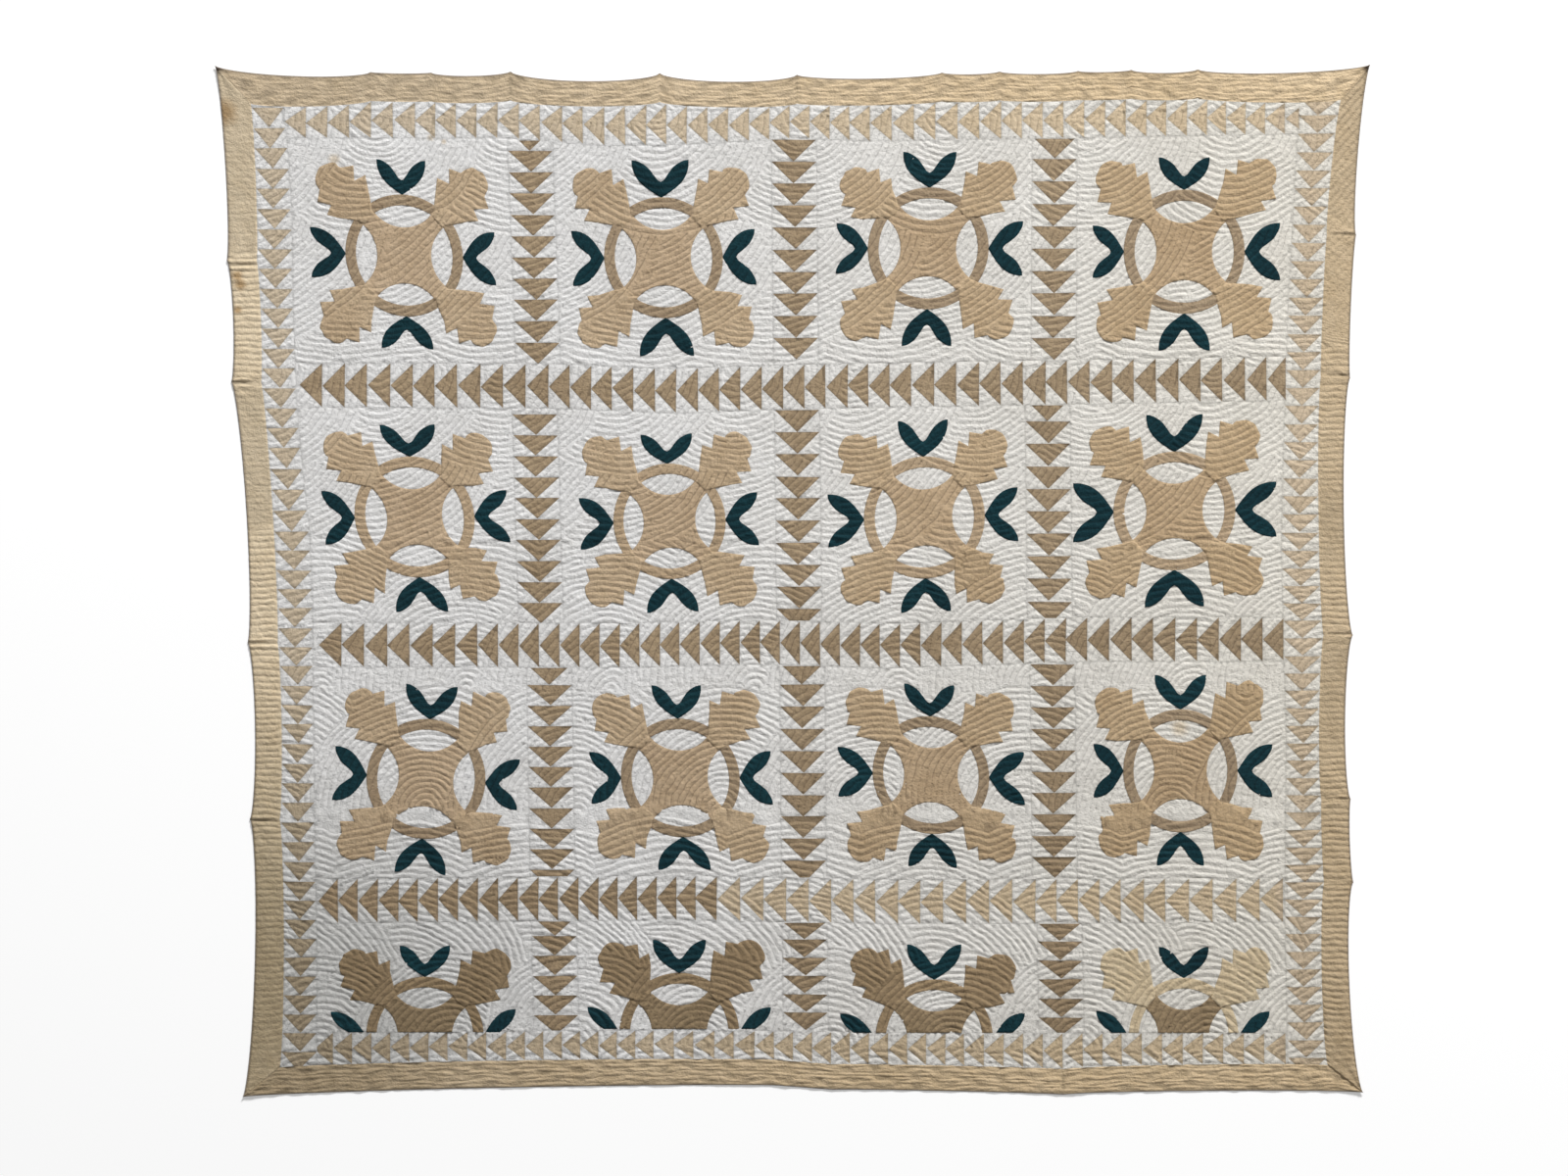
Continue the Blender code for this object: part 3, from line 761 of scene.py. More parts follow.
# How far the lines stray and how unevenly they show
LENGTHWISE_STRAY = [(2.6, 120, 31), (1.2, 42, 32)]
LENGTHWISE_UNEVEN = [(0.55, 52, 33)]
LENGTHWISE_MEAN = 0.85
LENGTHWISE_RANGE = (0.12, 1.15)
LONGER = 4  # what varies along the lengthwise lines is this much longer than wide
CROSSWISE_STRAY = [(1.3, 90, 34), (0.6, 26, 35)]
CROSSWISE_UNEVEN = [(0.12, 40, 36)]
BEND = [(0.0028, 170, 37)]
BEND_DEPTH = 20  # a crosswise line is bent about this distance from the edge
BORDER_UNEVEN = [(0.2, 12, 41), (0.3, 45, 42)]
RIM = 5.0  # how far in from the edge the border gets the painted shade of its rolled edge


def border_relief(side, depth, x, y):
    """How puffed a border strip is: lengthwise lines above and below, crosswise ones at the sides."""
    strength = np.interp(y if ALONG[side] else x, *zip(*STRENGTH[side]))
    if ALONG[side] == 0:
        stray = layered(x, depth * LONGER, LENGTHWISE_STRAY)
        lines = np.abs(np.sin(math.pi * (depth + stray) / LENGTHWISE_PITCH)) ** BORDER_PUFF_SHAPE
        uneven = layered(x, depth * LONGER, LENGTHWISE_UNEVEN, LENGTHWISE_MEAN)
        return lines * np.clip(uneven, *LENGTHWISE_RANGE) * strength
    slant = np.clip((y - SLANT_FROM) / SLANT_WITHIN, 0, 1) * UPPER_SLANT if side == "right" else 0.0
    bend = layered(y, 0 * y, BEND) * (depth - BEND_DEPTH) ** 2
    straight = (y - slant * depth + bend) / np.hypot(1, slant)
    turns = (straight + layered(x, y, CROSSWISE_STRAY)) / CROSSWISE_PITCH
    lines = np.abs(np.sin(math.pi * turns)) ** BORDER_PUFF_SHAPE
    return lines * strength * layered(x, y, CROSSWISE_UNEVEN, 1.0)


# Creases across a border strip; where they dip, painted shade darkens them. Columns: side, place along
# the edge in x or y, height.
CREASES = [
    ("left", 586, 1.4), ("left", 580, -2.2), ("left", 573, 1.6), ("left", 370, 1.4),
    ("left", 364, -2.0), ("left", 357, 1.2), ("left", -108, 1.4), ("left", -114, -2.2),
    ("left", -121, 1.6), ("left", -434, 1.4), ("left", -440, -2.2), ("right", 640, 1.2),
    ("right", 635, -1.6), ("right", 383, 1.3), ("right", 377, -2.0), ("right", 370, 1.6),
    ("right", -92, 1.8), ("right", -98, -2.4), ("right", -104, 1.8), ("right", -395, 1.4),
    ("right", -401, -2.0), ("right", -408, 1.2), ("right", -554, -1.4), ("bottom", 497, -1.2),
    ("top", 8, -1.0), ("top", -518, -0.8),
]
CREASE_HALF_WIDTH = 2.8
HEM = 13.0  # width of the edge that is turned over to the underside
ROLL = 1.6  # how far in the turned edge begins to round over
# The rounded edge. Columns: distance in from the edge as a part of the roll, height as a part.
EDGE_ROLL = [(0.55, 0.9), (0.18, 0.68), (0.0, 0.42), (0.22, 0.14), (1.0, 0.0)]
MITRE = 2.6  # half width of the dip at a mitred corner seam
MITRE_TOP = 1.9
BORDER_ROWS = (31, 15)  # of points, above and below and at the sides
BORDER_TROUGH = 1.5  # height of a border along a quilted line
BORDER_PUFF = 1.9  # and how much higher it is between two lines
BORDER_LEAST = 0.9
ROUNDED = 0.35  # how much lower a border is where it meets its rounded edge, as a part
ROUND_SHAPE = 6
CREASE_SHADE = 0.5  # painted shade: how much a crease darkens the cloth for each millimetre of depth
# the lowest puff value of a border, so its deepest painted shade
DARKEST = -0.25
# painted shade along a mitred corner seam, as a part
MITRE_SHADE = 0.7


def crease_height(side, place, along):
    total = np.zeros_like(along)
    for where, middle, height in CREASES:
        if where == side:
            total += height * np.exp(-((along - middle) / CREASE_HALF_WIDTH) ** 2) * place ** 0.5
    return total


def make_border(side, cloth):
    """One border strip with its edge turned over to the underside."""
    outs, ins, lifts = STATIONS_OF[side]
    count = len(outs)
    walked = np.concatenate([[0], np.cumsum(np.linalg.norm(np.diff(outs, axis=0), axis=1))])
    mitre = np.exp(-(np.minimum(walked, walked[-1] - walked) / MITRE) ** 2)
    width = np.linalg.norm(outs - ins, axis=1)
    edge = as_line(outs, ALONG[side])
    rows, values = [], []

    def row(place, height, value):
        spot = ins + (outs - ins) * np.reshape(place, (-1, 1))
        rows.append(np.column_stack([spot, height + lifts * np.clip(place, 0, 1) ** LIFT_SHAPE]))
        values.append(value)

    for place in np.linspace(0, 1, BORDER_ROWS[ALONG[side]]):
        here = place * (1 - ROLL / width)
        x, y = (ins + (outs - ins) * here[:, None]).T
        along, across = (y, x) if ALONG[side] else (x, y)
        depth = np.abs(edge(along) - across)
        if place == 0:
            puffed = puff(x, y)
            height = cloth_top(x, y, puffed) - SEAM_DIP
        else:
            puffed = border_relief(side, depth, x, y)
            crease = crease_height(side, place, along)
            full = BORDER_TROUGH + BORDER_PUFF * puffed + layered(x, y, BORDER_UNEVEN) + crease
            full = full * (1 - ROUNDED * place ** ROUND_SHAPE) + swell(x, y) + edge_folds(x, y)
            full = full * (1 - mitre) + (MITRE_TOP + swell(x, y)) * mitre
            height = np.maximum(full, BORDER_LEAST)
            # painted shade: dipping creases and the mitre lower the puff value that darkens the cloth
            puffed = np.maximum(puffed + CREASE_SHADE * np.minimum(crease, 0), DARKEST)
            puffed = puffed * (1 - MITRE_SHADE * mitre)
        # painted shade of the rolled edge, fading in over RIM millimetres
        rim = np.clip(1 - depth / RIM, 0, 1)
        row(here, height, puffed * (1 - rim) - rim)
    # the rolled edge itself carries the full painted shade
    for inward, part in EDGE_ROLL:
        row(1 - ROLL * inward / width, height * part, np.full(count, -1.0))
    row(1 - HEM / width, np.zeros(count), np.zeros(count))
    points, values = np.concatenate(rows), np.concatenate(values)
    made = add_mesh(f"border_cloth_{side}", points, between_rows(len(rows), count), cloth, values)
    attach(made, BODY)
    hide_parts(f"border_{side}")
    return made


# The back

BACK_STEP = 14.0  # between points of the backing
BACK_CLEAR = 5.2  # from its rim to the first of them
BACK_RISE = 0.15  # the backing lies inside the turned-in edge of the border
BACK_UNDER = 1.0  # how far it reaches under that edge
BACK_PLACES = (0.0, 0.35, 0.7, 1.0)
BACK_EVERY = 4  # stations of the border to one of the backing
SAME_PLACES = 100  # places to a millimetre; points in the same place are made one


def make_back(cloth):
    """The whole backing in one sheet, from turned edge to turned edge."""
    loop, rims = [], []
    for side in SIDE_ORDER:
        last = len(STATIONS_OF[side][0]) - 1
        picked = np.unique(np.append(np.arange(0, last + 1, BACK_EVERY), last))
        outs, ins, lifts = (part[picked] for part in STATIONS_OF[side])
        reach = 1 - (HEM - BACK_UNDER) / np.linalg.norm(outs - ins, axis=1)
        rows = []
        for place in BACK_PLACES:
            here = place * reach
            height = BACK_RISE + lifts * here ** LIFT_SHAPE
            rows.append(np.column_stack([ins + (outs - ins) * here[:, None], height]))
        rims.append(rows)
        loop.append(ins[:-1])
    loop = np.concatenate(loop)
    inner = plain_grid(loop.min(0), loop.max(0), BACK_STEP)
    inner = inner[inside(inner, loop)]
    inner = inner[~beside(inner, [closed(loop)], BACK_CLEAR)]
    flat, faces, _ = fill_loop(loop, inner)
    points = [np.column_stack([flat, np.full(len(flat), BACK_RISE)])]
    all_faces = [faces]
    start = len(flat)
    for rows in rims:
        corners = between_rows(len(rows), len(rows[0])) + start
        points += rows
        all_faces += [corners[:, :3], corners[:, (0, 2, 3)]]
        start += len(rows) * len(rows[0])
    points = np.concatenate(points)
    whole = np.round(points[:, :2] * SAME_PLACES).astype(np.int64)
    _, first, same = np.unique(
        whole[:, 0] * 10_000_000 + whole[:, 1], return_index=True, return_inverse=True,
    )
    faces = same.reshape(-1)[np.concatenate(all_faces)][:, ::-1]
    return add_mesh("backing", points[first], faces, cloth)


# Sewn-on pieces

CURVE_STEPS = 4  # from one point of a rounded outline to the next
ARC_STEPS = 24
INNER_STEPS = 20
INNER_TUCK = (6, -4)  # how far the inner edge of an arc runs on beside the tip of the opening
CUT_STRAY = 1.5  # how far the scissors stray at a corner of an oak leaf
LEAF_SIDE = 7  # points of a leaf's side before its round end
PAIR_STRAY = ((-0.06, 0.06), (-0.1, 0.08))  # spread of the width and length of a slender pair
REEL_CORNER = [(-60, 84), (-84, 60)]


def turned(points, quarter_turns):
    angle = math.pi / 2 * quarter_turns
    cos, sin = math.cos(angle), math.sin(angle)
    x, y = np.asarray(points, float).T
    return np.column_stack([x * cos - y * sin, x * sin + y * cos])


def circle_part(radius, middle, start, end, steps):
    """Points on a circle about (0, middle) between two points that lie on it."""
    a = math.atan2(start[1] - middle, start[0])
    b = math.atan2(end[1] - middle, end[0])
    if abs(b - a) > math.pi:
        b += math.tau if b < a else -math.tau
    angle = np.linspace(a, b, steps)
    return np.column_stack([radius * np.cos(angle), middle + radius * np.sin(angle)])


def smoothed(points):
    """A smooth curve through the points."""
    p = np.asarray(points, float)
    p = np.concatenate([2 * p[:1] - p[1:2], p, 2 * p[-1:] - p[-2:-1]])
    out = []
    for i in range(1, len(p) - 2):
        a, b, c, d = p[i - 1:i + 3]
        for t in np.arange(CURVE_STEPS) / CURVE_STEPS:
            out.append(0.5 * (2 * b + (c - a) * t + (2 * a - 5 * b + 4 * c - d) * t ** 2
                              + (3 * b - a - 3 * c + d) * t ** 3))
    out.append(p[-2])
    return np.array(out)


def oak_leaf(quarter, size, off, draw):
    sides = [
        [(u + draw.uniform(-CUT_STRAY, CUT_STRAY), way * v + draw.uniform(-CUT_STRAY, CUT_STRAY))
         for u, v in LEAF[:-1]]
        for way in (-1, 1)
    ]
    right, left = sides[0], sides[1][::-1]
    lobe = smoothed(right[LEAF_SIDE:] + [LEAF[-1]] + left[:-LEAF_SIDE])
    profile = np.concatenate([right[:LEAF_SIDE], lobe, left[-LEAF_SIDE:]])
    leaf = turned(profile * size, quarter + 0.5)
    part = np.clip((np.hypot(leaf[:, 0], leaf[:, 1]) - LEAF_HELD) / (LEAF_FREE - LEAF_HELD), 0, 1)
    return leaf + part[:, None] * off


def slender_pair(quarter, size, draw):
    """Two slender leaves cut in one piece; its foot points at the ring."""
    sizes = size * np.array([1 + draw.uniform(*stray) for stray in PAIR_STRAY])
    outer, inner = (smoothed(run) * sizes for run in (PAIR_OUTER, PAIR_INNER))
    right = np.concatenate([outer, inner[1:]])
    left = (right * (-1, 1))[::-1][1:-1]
    return turned(np.concatenate([right, left]) + (0, RING), quarter - 1)


def ring_arc(quarter):
    half = math.radians(ARC_HALF_TURN)
    angle = np.linspace(math.pi / 2 - half, math.pi / 2 + half, ARC_STEPS)
    outside = np.column_stack([RING * np.cos(angle), RING * np.sin(angle)])
    x, y = OPENING_TIP[0] + INNER_TUCK[0], OPENING_TIP[1] + INNER_TUCK[1]
    within = circle_part(*OPENING_RING_SIDE, (-x, y), (x, y), INNER_STEPS)
    return turned(np.concatenate([outside, within]), quarter - 1)


def reel():
    """The reel in the middle, its four sides hollow."""
    x, y = OPENING_TIP
    side = circle_part(*OPENING_REEL_SIDE, (x, y), (-x, y), ARC_STEPS)
    quarter = np.concatenate([side, REEL_CORNER])
    return np.concatenate([turned(quarter, turn) for turn in range(4)])


def placed(points, row):
    """Puts motif points in their place on the quilt."""
    x, y, wide, high, lean, rise, _ = row
    across, up = points[:, 0] / RING, points[:, 1] / RING
    return np.column_stack([x + across * wide + up * lean, y + up * high + across * rise])


def cut_off(loop, low):
    """The part of a loop above a level."""
    return np.array(clipped([tuple(point) for point in loop], 1, low, True)) if len(loop) else loop


def away_from(points, loop):
    """Distance from each point to a closed loop."""
    best = np.full(len(points), np.inf)
    for a, b in zip(loop, np.roll(loop, -1, axis=0)):
        side = b - a
        long = side @ side
        if long == 0:
            continue
        part = np.clip((points - a) @ side / long, 0, 1)
        best = np.minimum(best, np.hypot(*(points - a - part[:, None] * side).T))
    return best


# The cloth of a sewn-on piece, in one row or in all of them, where its name isn't that of its kind
PATCH_CLOTHS = {
    "oak_pale": "pale", "arc_pale": "pale", ("arc", 1): "arc_light",
    ("oak", 3): "oak_brown", ("arc", 3): "oak_brown", ("reel", 3): "reel_brown",
}
THICKNESS = {"arc": 0.5, "slender": 0.6, "oak": 0.72, "reel": 0.68}
COVER_FROM = 0.8  # the ground is pressed down this far inside the edge of a piece
PATCH_CLEAR = 1.9  # from that edge to the loose points of the piece
INSET_LEAST = 0.7  # least distance of a point of the inset from the edge, as a part
NECK_END = 130.0  # an oak leaf covers ring and reel up to this distance from the middle
NECK_SLOPE = 14.0


def neck(spots, row):
    """How much higher an oak leaf lies on ring and reel than on the ground."""
    far = np.hypot(spots[:, 0] - row[0], spots[:, 1] - row[1]) / (row[2] / RING)
    return LEAF_OVER * np.clip((NECK_END * row[-1] - far) / NECK_SLOPE, 0, 1)


def patch(kind, loop, row, field, covered):
    """One sewn-on piece: its points, triangles and puff values."""
    loop = densify(closed(loop), PATCH_STEP)[:-1]
    numbers = np.nonzero(inside(field, loop))[0]
    away = away_from(field[numbers], loop)
    covered[numbers[away > COVER_FROM]] = True
    loose = field[numbers[away > PATCH_CLEAR]]
    after, before = np.roll(loop, -1, axis=0), np.roll(loop, 1, axis=0)
    normal = np.column_stack([before[:, 1] - after[:, 1], after[:, 0] - before[:, 0]])
    normal /= np.maximum(np.linalg.norm(normal, axis=1), 1e-6)[:, None]
    area = np.sum(loop[:, 0] * after[:, 1] - loop[:, 1] * after[:, 0])
    inset = loop + normal * PATCH_INSET * (1 if area > 0 else -1)
    inset = inset[inside(inset, loop)]
    inset = inset[away_from(inset, loop) > PATCH_INSET * INSET_LEAST]
    flat, faces, _ = fill_loop(loop, np.concatenate([inset, loose]))
    puffed = puff(*flat.T)
    rise = np.clip(away_from(flat, loop) / PATCH_INSET, 0, 1)
    z = cloth_top(*flat.T, puffed) + PATCH_FOOT + (THICKNESS[kind] - PATCH_FOOT) * rise
    if kind == "oak":
        z += neck(flat, row) * rise
    # painted shade along the edge of each sewn-on piece, where it meets the ground
    return np.column_stack([flat, z]), faces, puffed * (SEAM_SHADE + (1 - SEAM_SHADE) * rise)


def join(parts):
    """Some patches as one mesh."""
    points, faces, values = zip(*parts)
    starts = np.cumsum([0] + [len(some) for some in points[:-1]])
    faces = [some + start for some, start in zip(faces, starts)]
    return np.concatenate(points), np.concatenate(faces), np.concatenate(values)


def motif_loops(line, column, draw):
    """Kind and outline of each piece of one motif, about its middle."""
    off = {entry[:3]: entry[3:] for entry in LEAVES_OFF}
    place = (line + 1, column + 1)
    loops = []
    for quarter in range(4):
        leaf_off = np.array(off.get((*place, quarter), (0, 0)))
        loops += [
            ("arc", ring_arc(quarter)),
            ("slender", slender_pair(quarter, PAIR_SIZES.get(place, 1.0), draw)),
            ("oak", oak_leaf(quarter, MOTIFS[line][column][-1], leaf_off, draw)),
        ]
    return loops + [("reel", reel())]


def make_motifs(field, covered, cloths):
    """The sewn-on pieces of all rows, one mesh for each kind of piece and cloth in a row."""
    made = []
    draw = random.Random(9)
    for line, rows in enumerate(MOTIFS):
        groups = {}
        for column, row in enumerate(rows):
            for kind, loop in motif_loops(line, column, draw):
                loop = placed(loop, row)
                if line == 3:
                    loop = cut_off(loop, HALF_CUT[column])
                if len(loop) < 3:
                    continue
                pale = line == 3 and column == 3 and kind in ("oak", "arc")
                parts = groups.setdefault(kind + "_pale" if pale else kind, [])
                parts.append(patch(kind, loop, row, field, covered))
        for name, parts in groups.items():
            points, faces, values = join(parts)
            cloth = cloths[PATCH_CLOTHS.get((name, line), PATCH_CLOTHS.get(name, name))]
            piece = add_mesh(f"{name}_row{line + 1}", points, faces, cloth, values)
            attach(piece, BODY)
            if name == "reel":
                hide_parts(*[f"motif_row{line + 1}_{column + 1}" for column in range(4)])
            made.append(piece)
    return made


# Materials

def linear(colour):
    """A colour as it looks, 0 to 255, as the shader wants it."""
    parts = [part / 255 for part in colour]
    return tuple(p / 12.92 if p <= 0.04045 else ((p + 0.055) / 1.055) ** 2.4 for p in parts) + (1.0,)


class Finish:
    """A material and the few node calls that all materials share."""

    def __init__(self, name):
        self.material = bpy.data.materials.new(name)
        self.material.use_nodes = True
        self.tree = self.material.node_tree
        self.shader = self.tree.nodes["Principled BSDF"]
        self.place = self.node("TexCoord", "Object")

    def feed(self, node, inputs):
        """Gives inputs their values: numbers, colours or the outputs of other nodes."""
        for socket, value in inputs.items():
            if isinstance(value, bpy.types.NodeSocket):
                self.tree.links.new(value, node.inputs[socket])
            else:
                node.inputs[socket].default_value = value

    def node(self, kind, output, inputs=None, **settings):
        """Adds a node and returns one of its outputs."""
        node = self.tree.nodes.new("ShaderNode" + kind)
        for name, value in settings.items():
            setattr(node, name, value)
        self.feed(node, inputs or {})
        return node.outputs[output]

    def noise(self, scale, detail, rough, stretch=(1, 1, 1)):
        place = self.node("Mapping", "Vector", {"Vector": self.place, "Scale": stretch})
        inputs = {"Vector": place, "Scale": scale, "Detail": detail, "Roughness": rough}
        return self.node("TexNoise", "Fac", inputs)

    def threads(self, turn):
        """Fine parallel ridges of one set of threads."""
        place = self.node("Mapping", "Vector", {"Vector": self.place, "Rotation": (0, 0, turn)})
        inputs = {"Vector": place, "Scale": math.tau / 20 / WEAVE, "Distortion": 1.2, "Detail": 1.0}
        return self.node("TexWave", "Fac", {**inputs, "Detail Scale": 0.6})

    def math(self, how, a, b):
        return self.node("Math", 0, {0: a, 1: b}, operation=how)

    def span(self, value, low, high, to_low=0.0, to_high=1.0):
        """Maps the range from low to high to another one."""
        inputs = {"Value": value, "From Min": low, "From Max": high}
        return self.node("MapRange", "Result", {**inputs, "To Min": to_low, "To Max": to_high})

    def mix(self, part, a, b, how="MIX"):
        return self.node("Mix", 2, {0: part, 6: a, 7: b}, data_type="RGBA", blend_type=how)

    def bump(self, height, distance, strength, **under):
        inputs = {"Height": height, "Distance": distance, "Strength": strength, **under}
        return self.node("Bump", "Normal", inputs)


WEAVE = 0.0007  # one thread to the next, in metres
CRINKLE = 0.0023  # height of the small creases of washed cotton, in metres
FINE_CRINKLE = 0.0006
THREAD = 0.00005
ROUGH_LOW, ROUGH_HIGH = 0.87, 0.97
# Noises: scale, detail, roughness and how much they are drawn together on each axis
BROAD = (5.0, 3.0, 0.6)
BLOTCHES = (34.0, 3.0, 0.6)
RAGGED = (60.0, 3.0, 0.6)
CREASED = (170.0, 3.0, 0.6)
FINE_CREASED = (430.0, 2.0, 0.6)
WARP = (1.0, 2.0, 0.6, (70, 900, 70))
WEFT = (1.0, 2.0, 0.6, (900, 70, 70))
MOST = (0.3, 0.7)  # nearly all of a noise lies in this range
SLUBS = (0.7, 1.3)  # and nearly all of the sum of warp and weft in this one
BROAD_DARK = 0.45  # how much each noise darkens the cloth
BLOTCH_DARK = 0.3
LIGHTEST = 0.1  # below this darkness the cloth keeps its light colour
SHADED = (-0.1, 0.5)  # over this range of puff the cloth goes from its painted shade to its full colour
RIM_SHADED = (-0.95, -0.35)  # and over this one from the full painted shade of the rolled edge to none
THREAD_STRENGTH = 0.6


def woven(name, light, dark, speckle=0.5, trough=0.36, sheen=0.2, spots=(), tints=(), rim=None):
    """A plain woven cotton that goes from one colour to the other, with slubs, fading and creases, and
    painted shade in its troughs and, where given, at its rolled edge.
    """
    cloth = Finish(name)
    blotch = cloth.noise(*BLOTCHES)
    tone = cloth.math(
        "ADD", cloth.span(cloth.noise(*BROAD), *MOST, 0, BROAD_DARK),
        cloth.span(blotch, *MOST, 0, BLOTCH_DARK),
    )
    slubs = cloth.math("ADD", cloth.noise(*WARP), cloth.noise(*WEFT))
    tone = cloth.math("ADD", tone, cloth.span(slubs, *SLUBS, 0, speckle))
    part = cloth.span(tone, LIGHTEST, BROAD_DARK + BLOTCH_DARK + speckle)
    colour = cloth.mix(part, linear(light), linear(dark))
    for spot_colour, strength, places in spots:
        for x, y, size in places:
            colour = stain_and_painted_shade(cloth, colour, spot_colour, strength, x, y, size)
    for axis, start, end, tint in tints:
        part = cloth.span(cloth.node("SeparateXYZ", axis, {0: cloth.place}), start * MM, end * MM)
        colour = cloth.mix(part, colour, cloth.mix(1.0, colour, linear(tint), "MULTIPLY"))
    # painted shade: the troughs between quilted ridges are darkened by trough, as a part
    puffed = cloth.node("Attribute", "Fac", attribute_name="puff")
    shade = cloth.span(puffed, *SHADED, 1 - trough, 1.0)
    grey = cloth.node("CombineColor", 0, {0: shade, 1: shade, 2: shade})
    colour = cloth.mix(1.0, colour, grey, "MULTIPLY")
    # painted shade of a rolled edge: a grey colour mixed in where puff is below zero
    if rim:
        colour = cloth.mix(cloth.span(puffed, *RIM_SHADED, 1.0, 0.0), colour, linear(rim))
    normal = cloth.bump(cloth.noise(*CREASED), CRINKLE, 1.0)
    normal = cloth.bump(cloth.noise(*FINE_CREASED), FINE_CRINKLE, 1.0, Normal=normal)
    threads = cloth.math("ADD", cloth.threads(0.0), cloth.threads(math.pi / 2))
    cloth.feed(cloth.shader, {
        "Base Color": colour,
        "Roughness": cloth.span(blotch, *MOST, ROUGH_LOW, ROUGH_HIGH),
        "Sheen Weight": sheen,
        "Sheen Roughness": 0.5,
        "Specular IOR Level": 0.25,
        "Normal": cloth.bump(threads, THREAD, THREAD_STRENGTH, Normal=normal),
    })
    return cloth.material


MARK_Z = 3.0
MARK_REACH = (0.6, 1.5)  # least and most, as parts of its size
MARK_FADE = (0.3, 1.0)  # where a mark begins and ends to fade, as parts of its reach


def stain_and_painted_shade(cloth, colour, mark_colour, strength, x, y, size):
    """A soft-edged mark at one place on the cloth, in millimetres: an old stain, and also the broad
    painted shade of the lower left corner.
    """
    middle = (x * MM, y * MM, MARK_Z * MM)
    away = cloth.node("VectorMath", "Value", {0: cloth.place, 1: middle}, operation="DISTANCE")
    least, most = (part * size * MM for part in MARK_REACH)
    ragged = cloth.span(cloth.noise(*RAGGED), 0.0, 1.0, least, most)
    part = cloth.span(cloth.math("DIVIDE", away, ragged), *MARK_FADE, strength, 0.0)
    return cloth.mix(part, colour, linear(mark_colour), "MULTIPLY")


# Tints: the axis, from where to where in millimetres, and the colour that it is multiplied by there
# partly painted light, warmer towards the lit right side, and partly the cloth's own tone
WARMER_RIGHT = ("X", -300, 900, (255, 251, 241))
# these two are partly painted shade, darker towards the bottom away from the key, and partly the
# cloth's own tone
WHITE_BELOW = ("Y", 100, -900, (242, 242, 242))
TAN_BELOW = ("Y", 100, -930, (228, 226, 222))
PALER_LEFT = ("X", 500, -700, (238, 241, 248))
DARKER_LEFT = ("X", 400, -900, (226, 226, 224))
DARKER_RIGHT = ("X", 0, 1000, (233, 227, 219))
DARKER_STRIP = ("X", 885, 895, (245, 245, 249))
# painted shade: broad soft darkening of the lower left corner, where less light falls
WHITE_LOWER_LEFT_SHADE = ((222, 222, 220), 1.0, [(-880, -780, 460)])
LOWER_LEFT_SHADE = ((208, 206, 199), 1.0, [(-1010, -700, 480)])
WHITE_MARKS = (
    (232, 214, 186), 0.7, [(-842, 773, 13), (-664, 814, 8), (710, -269, 20), (-640, 806, 6)],
)
BORDER_MARKS = (
    (208, 188, 160), 0.9, [(-1020, 560, 13), (-1014, 543, 13), (-1019, 497, 10), (-1045, 860, 30)],
)
DARK_TIPS = ((96, 90, 86), 1.0, [(-1056, 941, 13), (1056, 943, 13)])
# the grey of the painted shade on the rolled edges
RIM_SHADE_COLOUR = (136, 125, 116)


def make_cloths():
    """Each cloth with its colours as they look on the ridges, least and most dark."""
    # trough: how much painted shade darkens each cloth along its quilted lines
    white = {
        "speckle": 0.35, "trough": 0.3, "tints": (WARMER_RIGHT, WHITE_BELOW),
        "spots": (WHITE_MARKS, WHITE_LOWER_LEFT_SHADE),
    }
    edged = {"trough": 0.4, "rim": RIM_SHADE_COLOUR, "spots": (BORDER_MARKS, LOWER_LEFT_SHADE, DARK_TIPS)}
    border = {**edged, "tints": (PALER_LEFT, TAN_BELOW)}
    side = {**edged, "tints": (DARKER_RIGHT, TAN_BELOW)}
    tan = {"trough": 0.5, "tints": (TAN_BELOW, WARMER_RIGHT)}
    brown = {"trough": 0.45, "tints": (DARKER_LEFT,)}
    strip = {"trough": 0.45, "tints": (TAN_BELOW,)}
    pale = {"tints": (PALER_LEFT, DARKER_STRIP, TAN_BELOW), "spots": (LOWER_LEFT_SHADE,)}
    rows = {
        "white": ("white_cotton", (241, 240, 239), (221, 219, 216), white),
        "lining": ("lining_cotton", (226, 218, 202), (204, 194, 176), {}),
        "border": ("border_cotton", (239, 215, 179), (206, 180, 140), border),
        "side": ("side_border_cotton", (240, 222, 192), (208, 187, 153), side),
        "slender": ("teal_cotton", (13, 60, 68), (3, 32, 40), {"trough": 0.5, "sheen": 0.03}),
        "oak": ("tan_cotton", (212, 189, 158), (172, 147, 115), tan),
        "oak_brown": ("brown_cotton", (168, 145, 113), (134, 113, 84), brown),
        "reel": ("reel_cotton", (211, 187, 157), (173, 148, 117), tan),
        "reel_brown": ("dark_reel_cotton", (164, 142, 111), (129, 110, 82), brown),
        "arc": ("arc_cotton", (182, 161, 133), (149, 127, 101), strip),
        "arc_light": ("light_arc_cotton", (202, 179, 149), (168, 143, 112), strip),
        "pale": ("pale_cotton", (218, 201, 170), (190, 169, 135), {}),
        "geese": ("strip_cotton", (183, 161, 131), (144, 123, 95), strip),
        "geese_pale": ("pale_strip_cotton", (230, 210, 180), (198, 176, 142), pale),
    }
    return {key: woven(name, light, dark, **looks) for key, (name, light, dark, looks) in rows.items()}


# Floor, light and camera

FLOOR_Z = -0.0003
FLOOR_WHITE = 0.95
FLOOR_GLOW = 0.225


def make_floor():
    bpy.ops.mesh.primitive_plane_add(size=14, location=(0, 0, FLOOR_Z))
    floor = bpy.context.object
    floor.name = "studio_floor"
    paper = Finish("floor_paper")
    paper.feed(paper.shader, {
        "Base Color": (FLOOR_WHITE, FLOOR_WHITE, FLOOR_WHITE, 1),
        "Emission Color": (1, 1, 1, 1),
        "Emission Strength": FLOOR_GLOW,
        "Roughness": 0.95,
        "Specular IOR Level": 0.1,
    })
    floor.data.materials.append(paper.material)


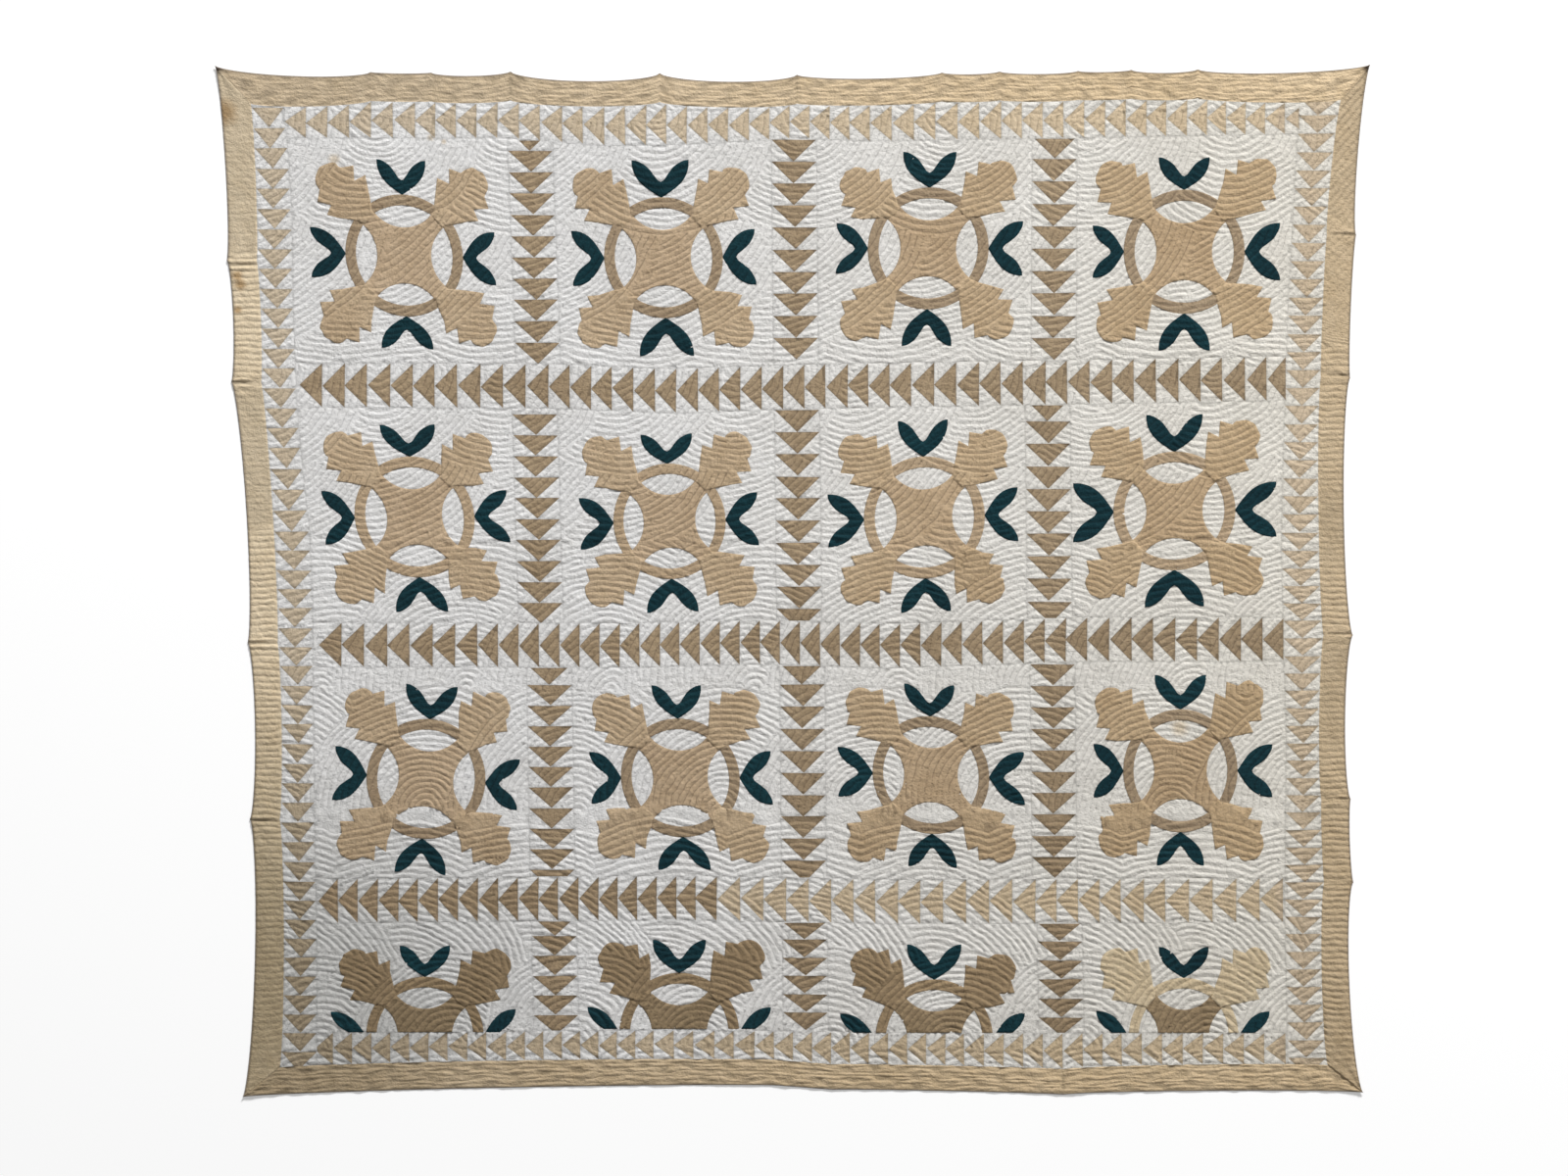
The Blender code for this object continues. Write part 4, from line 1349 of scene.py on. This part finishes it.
KEY_PLACE = (5.4, 15.75, 9.0)
KEY_POWER = 4450
KEY_SIZE = 3.6
SKY = 0.26


def make_light():
    """A soft key from beyond the top right corner, low enough to show the quilting, and a pale sky."""
    world = bpy.data.worlds.new("studio")
    bpy.context.scene.world = world
    world.use_nodes = True
    background = world.node_tree.nodes["Background"]
    background.inputs["Color"].default_value = (1.0, 1.0, 1.0, 1)
    background.inputs["Strength"].default_value = SKY
    lamp = bpy.data.lights.new("key", "AREA")
    lamp.energy = KEY_POWER
    lamp.size = KEY_SIZE
    key = add_object("key", lamp)
    key.location = KEY_PLACE
    key.rotation_euler = (-Vector(KEY_PLACE)).to_track_quat("-Z", "Y").to_euler()


CAMERA_PLACE = (-0.01575, -0.0135, 6.8)
CAMERA_LENS = 85.0


def make_camera():
    camera = bpy.data.cameras.new("camera")
    camera.lens = CAMERA_LENS
    camera.sensor_width = 36.0
    camera.clip_end = 50.0
    held = add_object("camera", camera)
    held.location = CAMERA_PLACE
    bpy.context.scene.camera = held


# The whole quilt

PALE_GEESE = ("geese_top", "geese_bottom", "geese_left", "geese_right", "geese_sash3_pale")


def make_pieces(cloths):
    """Every piece of the quilt but the backing."""
    points, faces, puffed, piece, names = make_ground()
    covered = np.zeros(len(points), bool)
    pieces = make_motifs(points[:, :2], covered, cloths)
    points[covered, 2] -= UNDER_PATCH
    for number, name in enumerate(names):
        some = faces[piece == number]
        if not len(some):
            continue
        cloth = cloths["white"]
        if name.startswith("geese"):
            cloth = cloths["geese_pale" if name in PALE_GEESE else "geese"]
        made = add_mesh("ground_" + name, points, some, cloth, puffed)
        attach(made, BODY)
        if name == "block1":
            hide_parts("pieced_ground")
        pieces.append(made)
    for side in SIDE_ORDER:
        pieces.append(make_border(side, cloths["side" if ALONG[side] else "border"]))
    return pieces


def main():
    bpy.context.scene.view_settings.view_transform = "Standard"
    cloths = make_cloths()
    others = make_pieces(cloths)
    back = make_back(cloths["lining"])
    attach(back, BODY)
    make_floor()
    make_light()
    make_camera()


main()
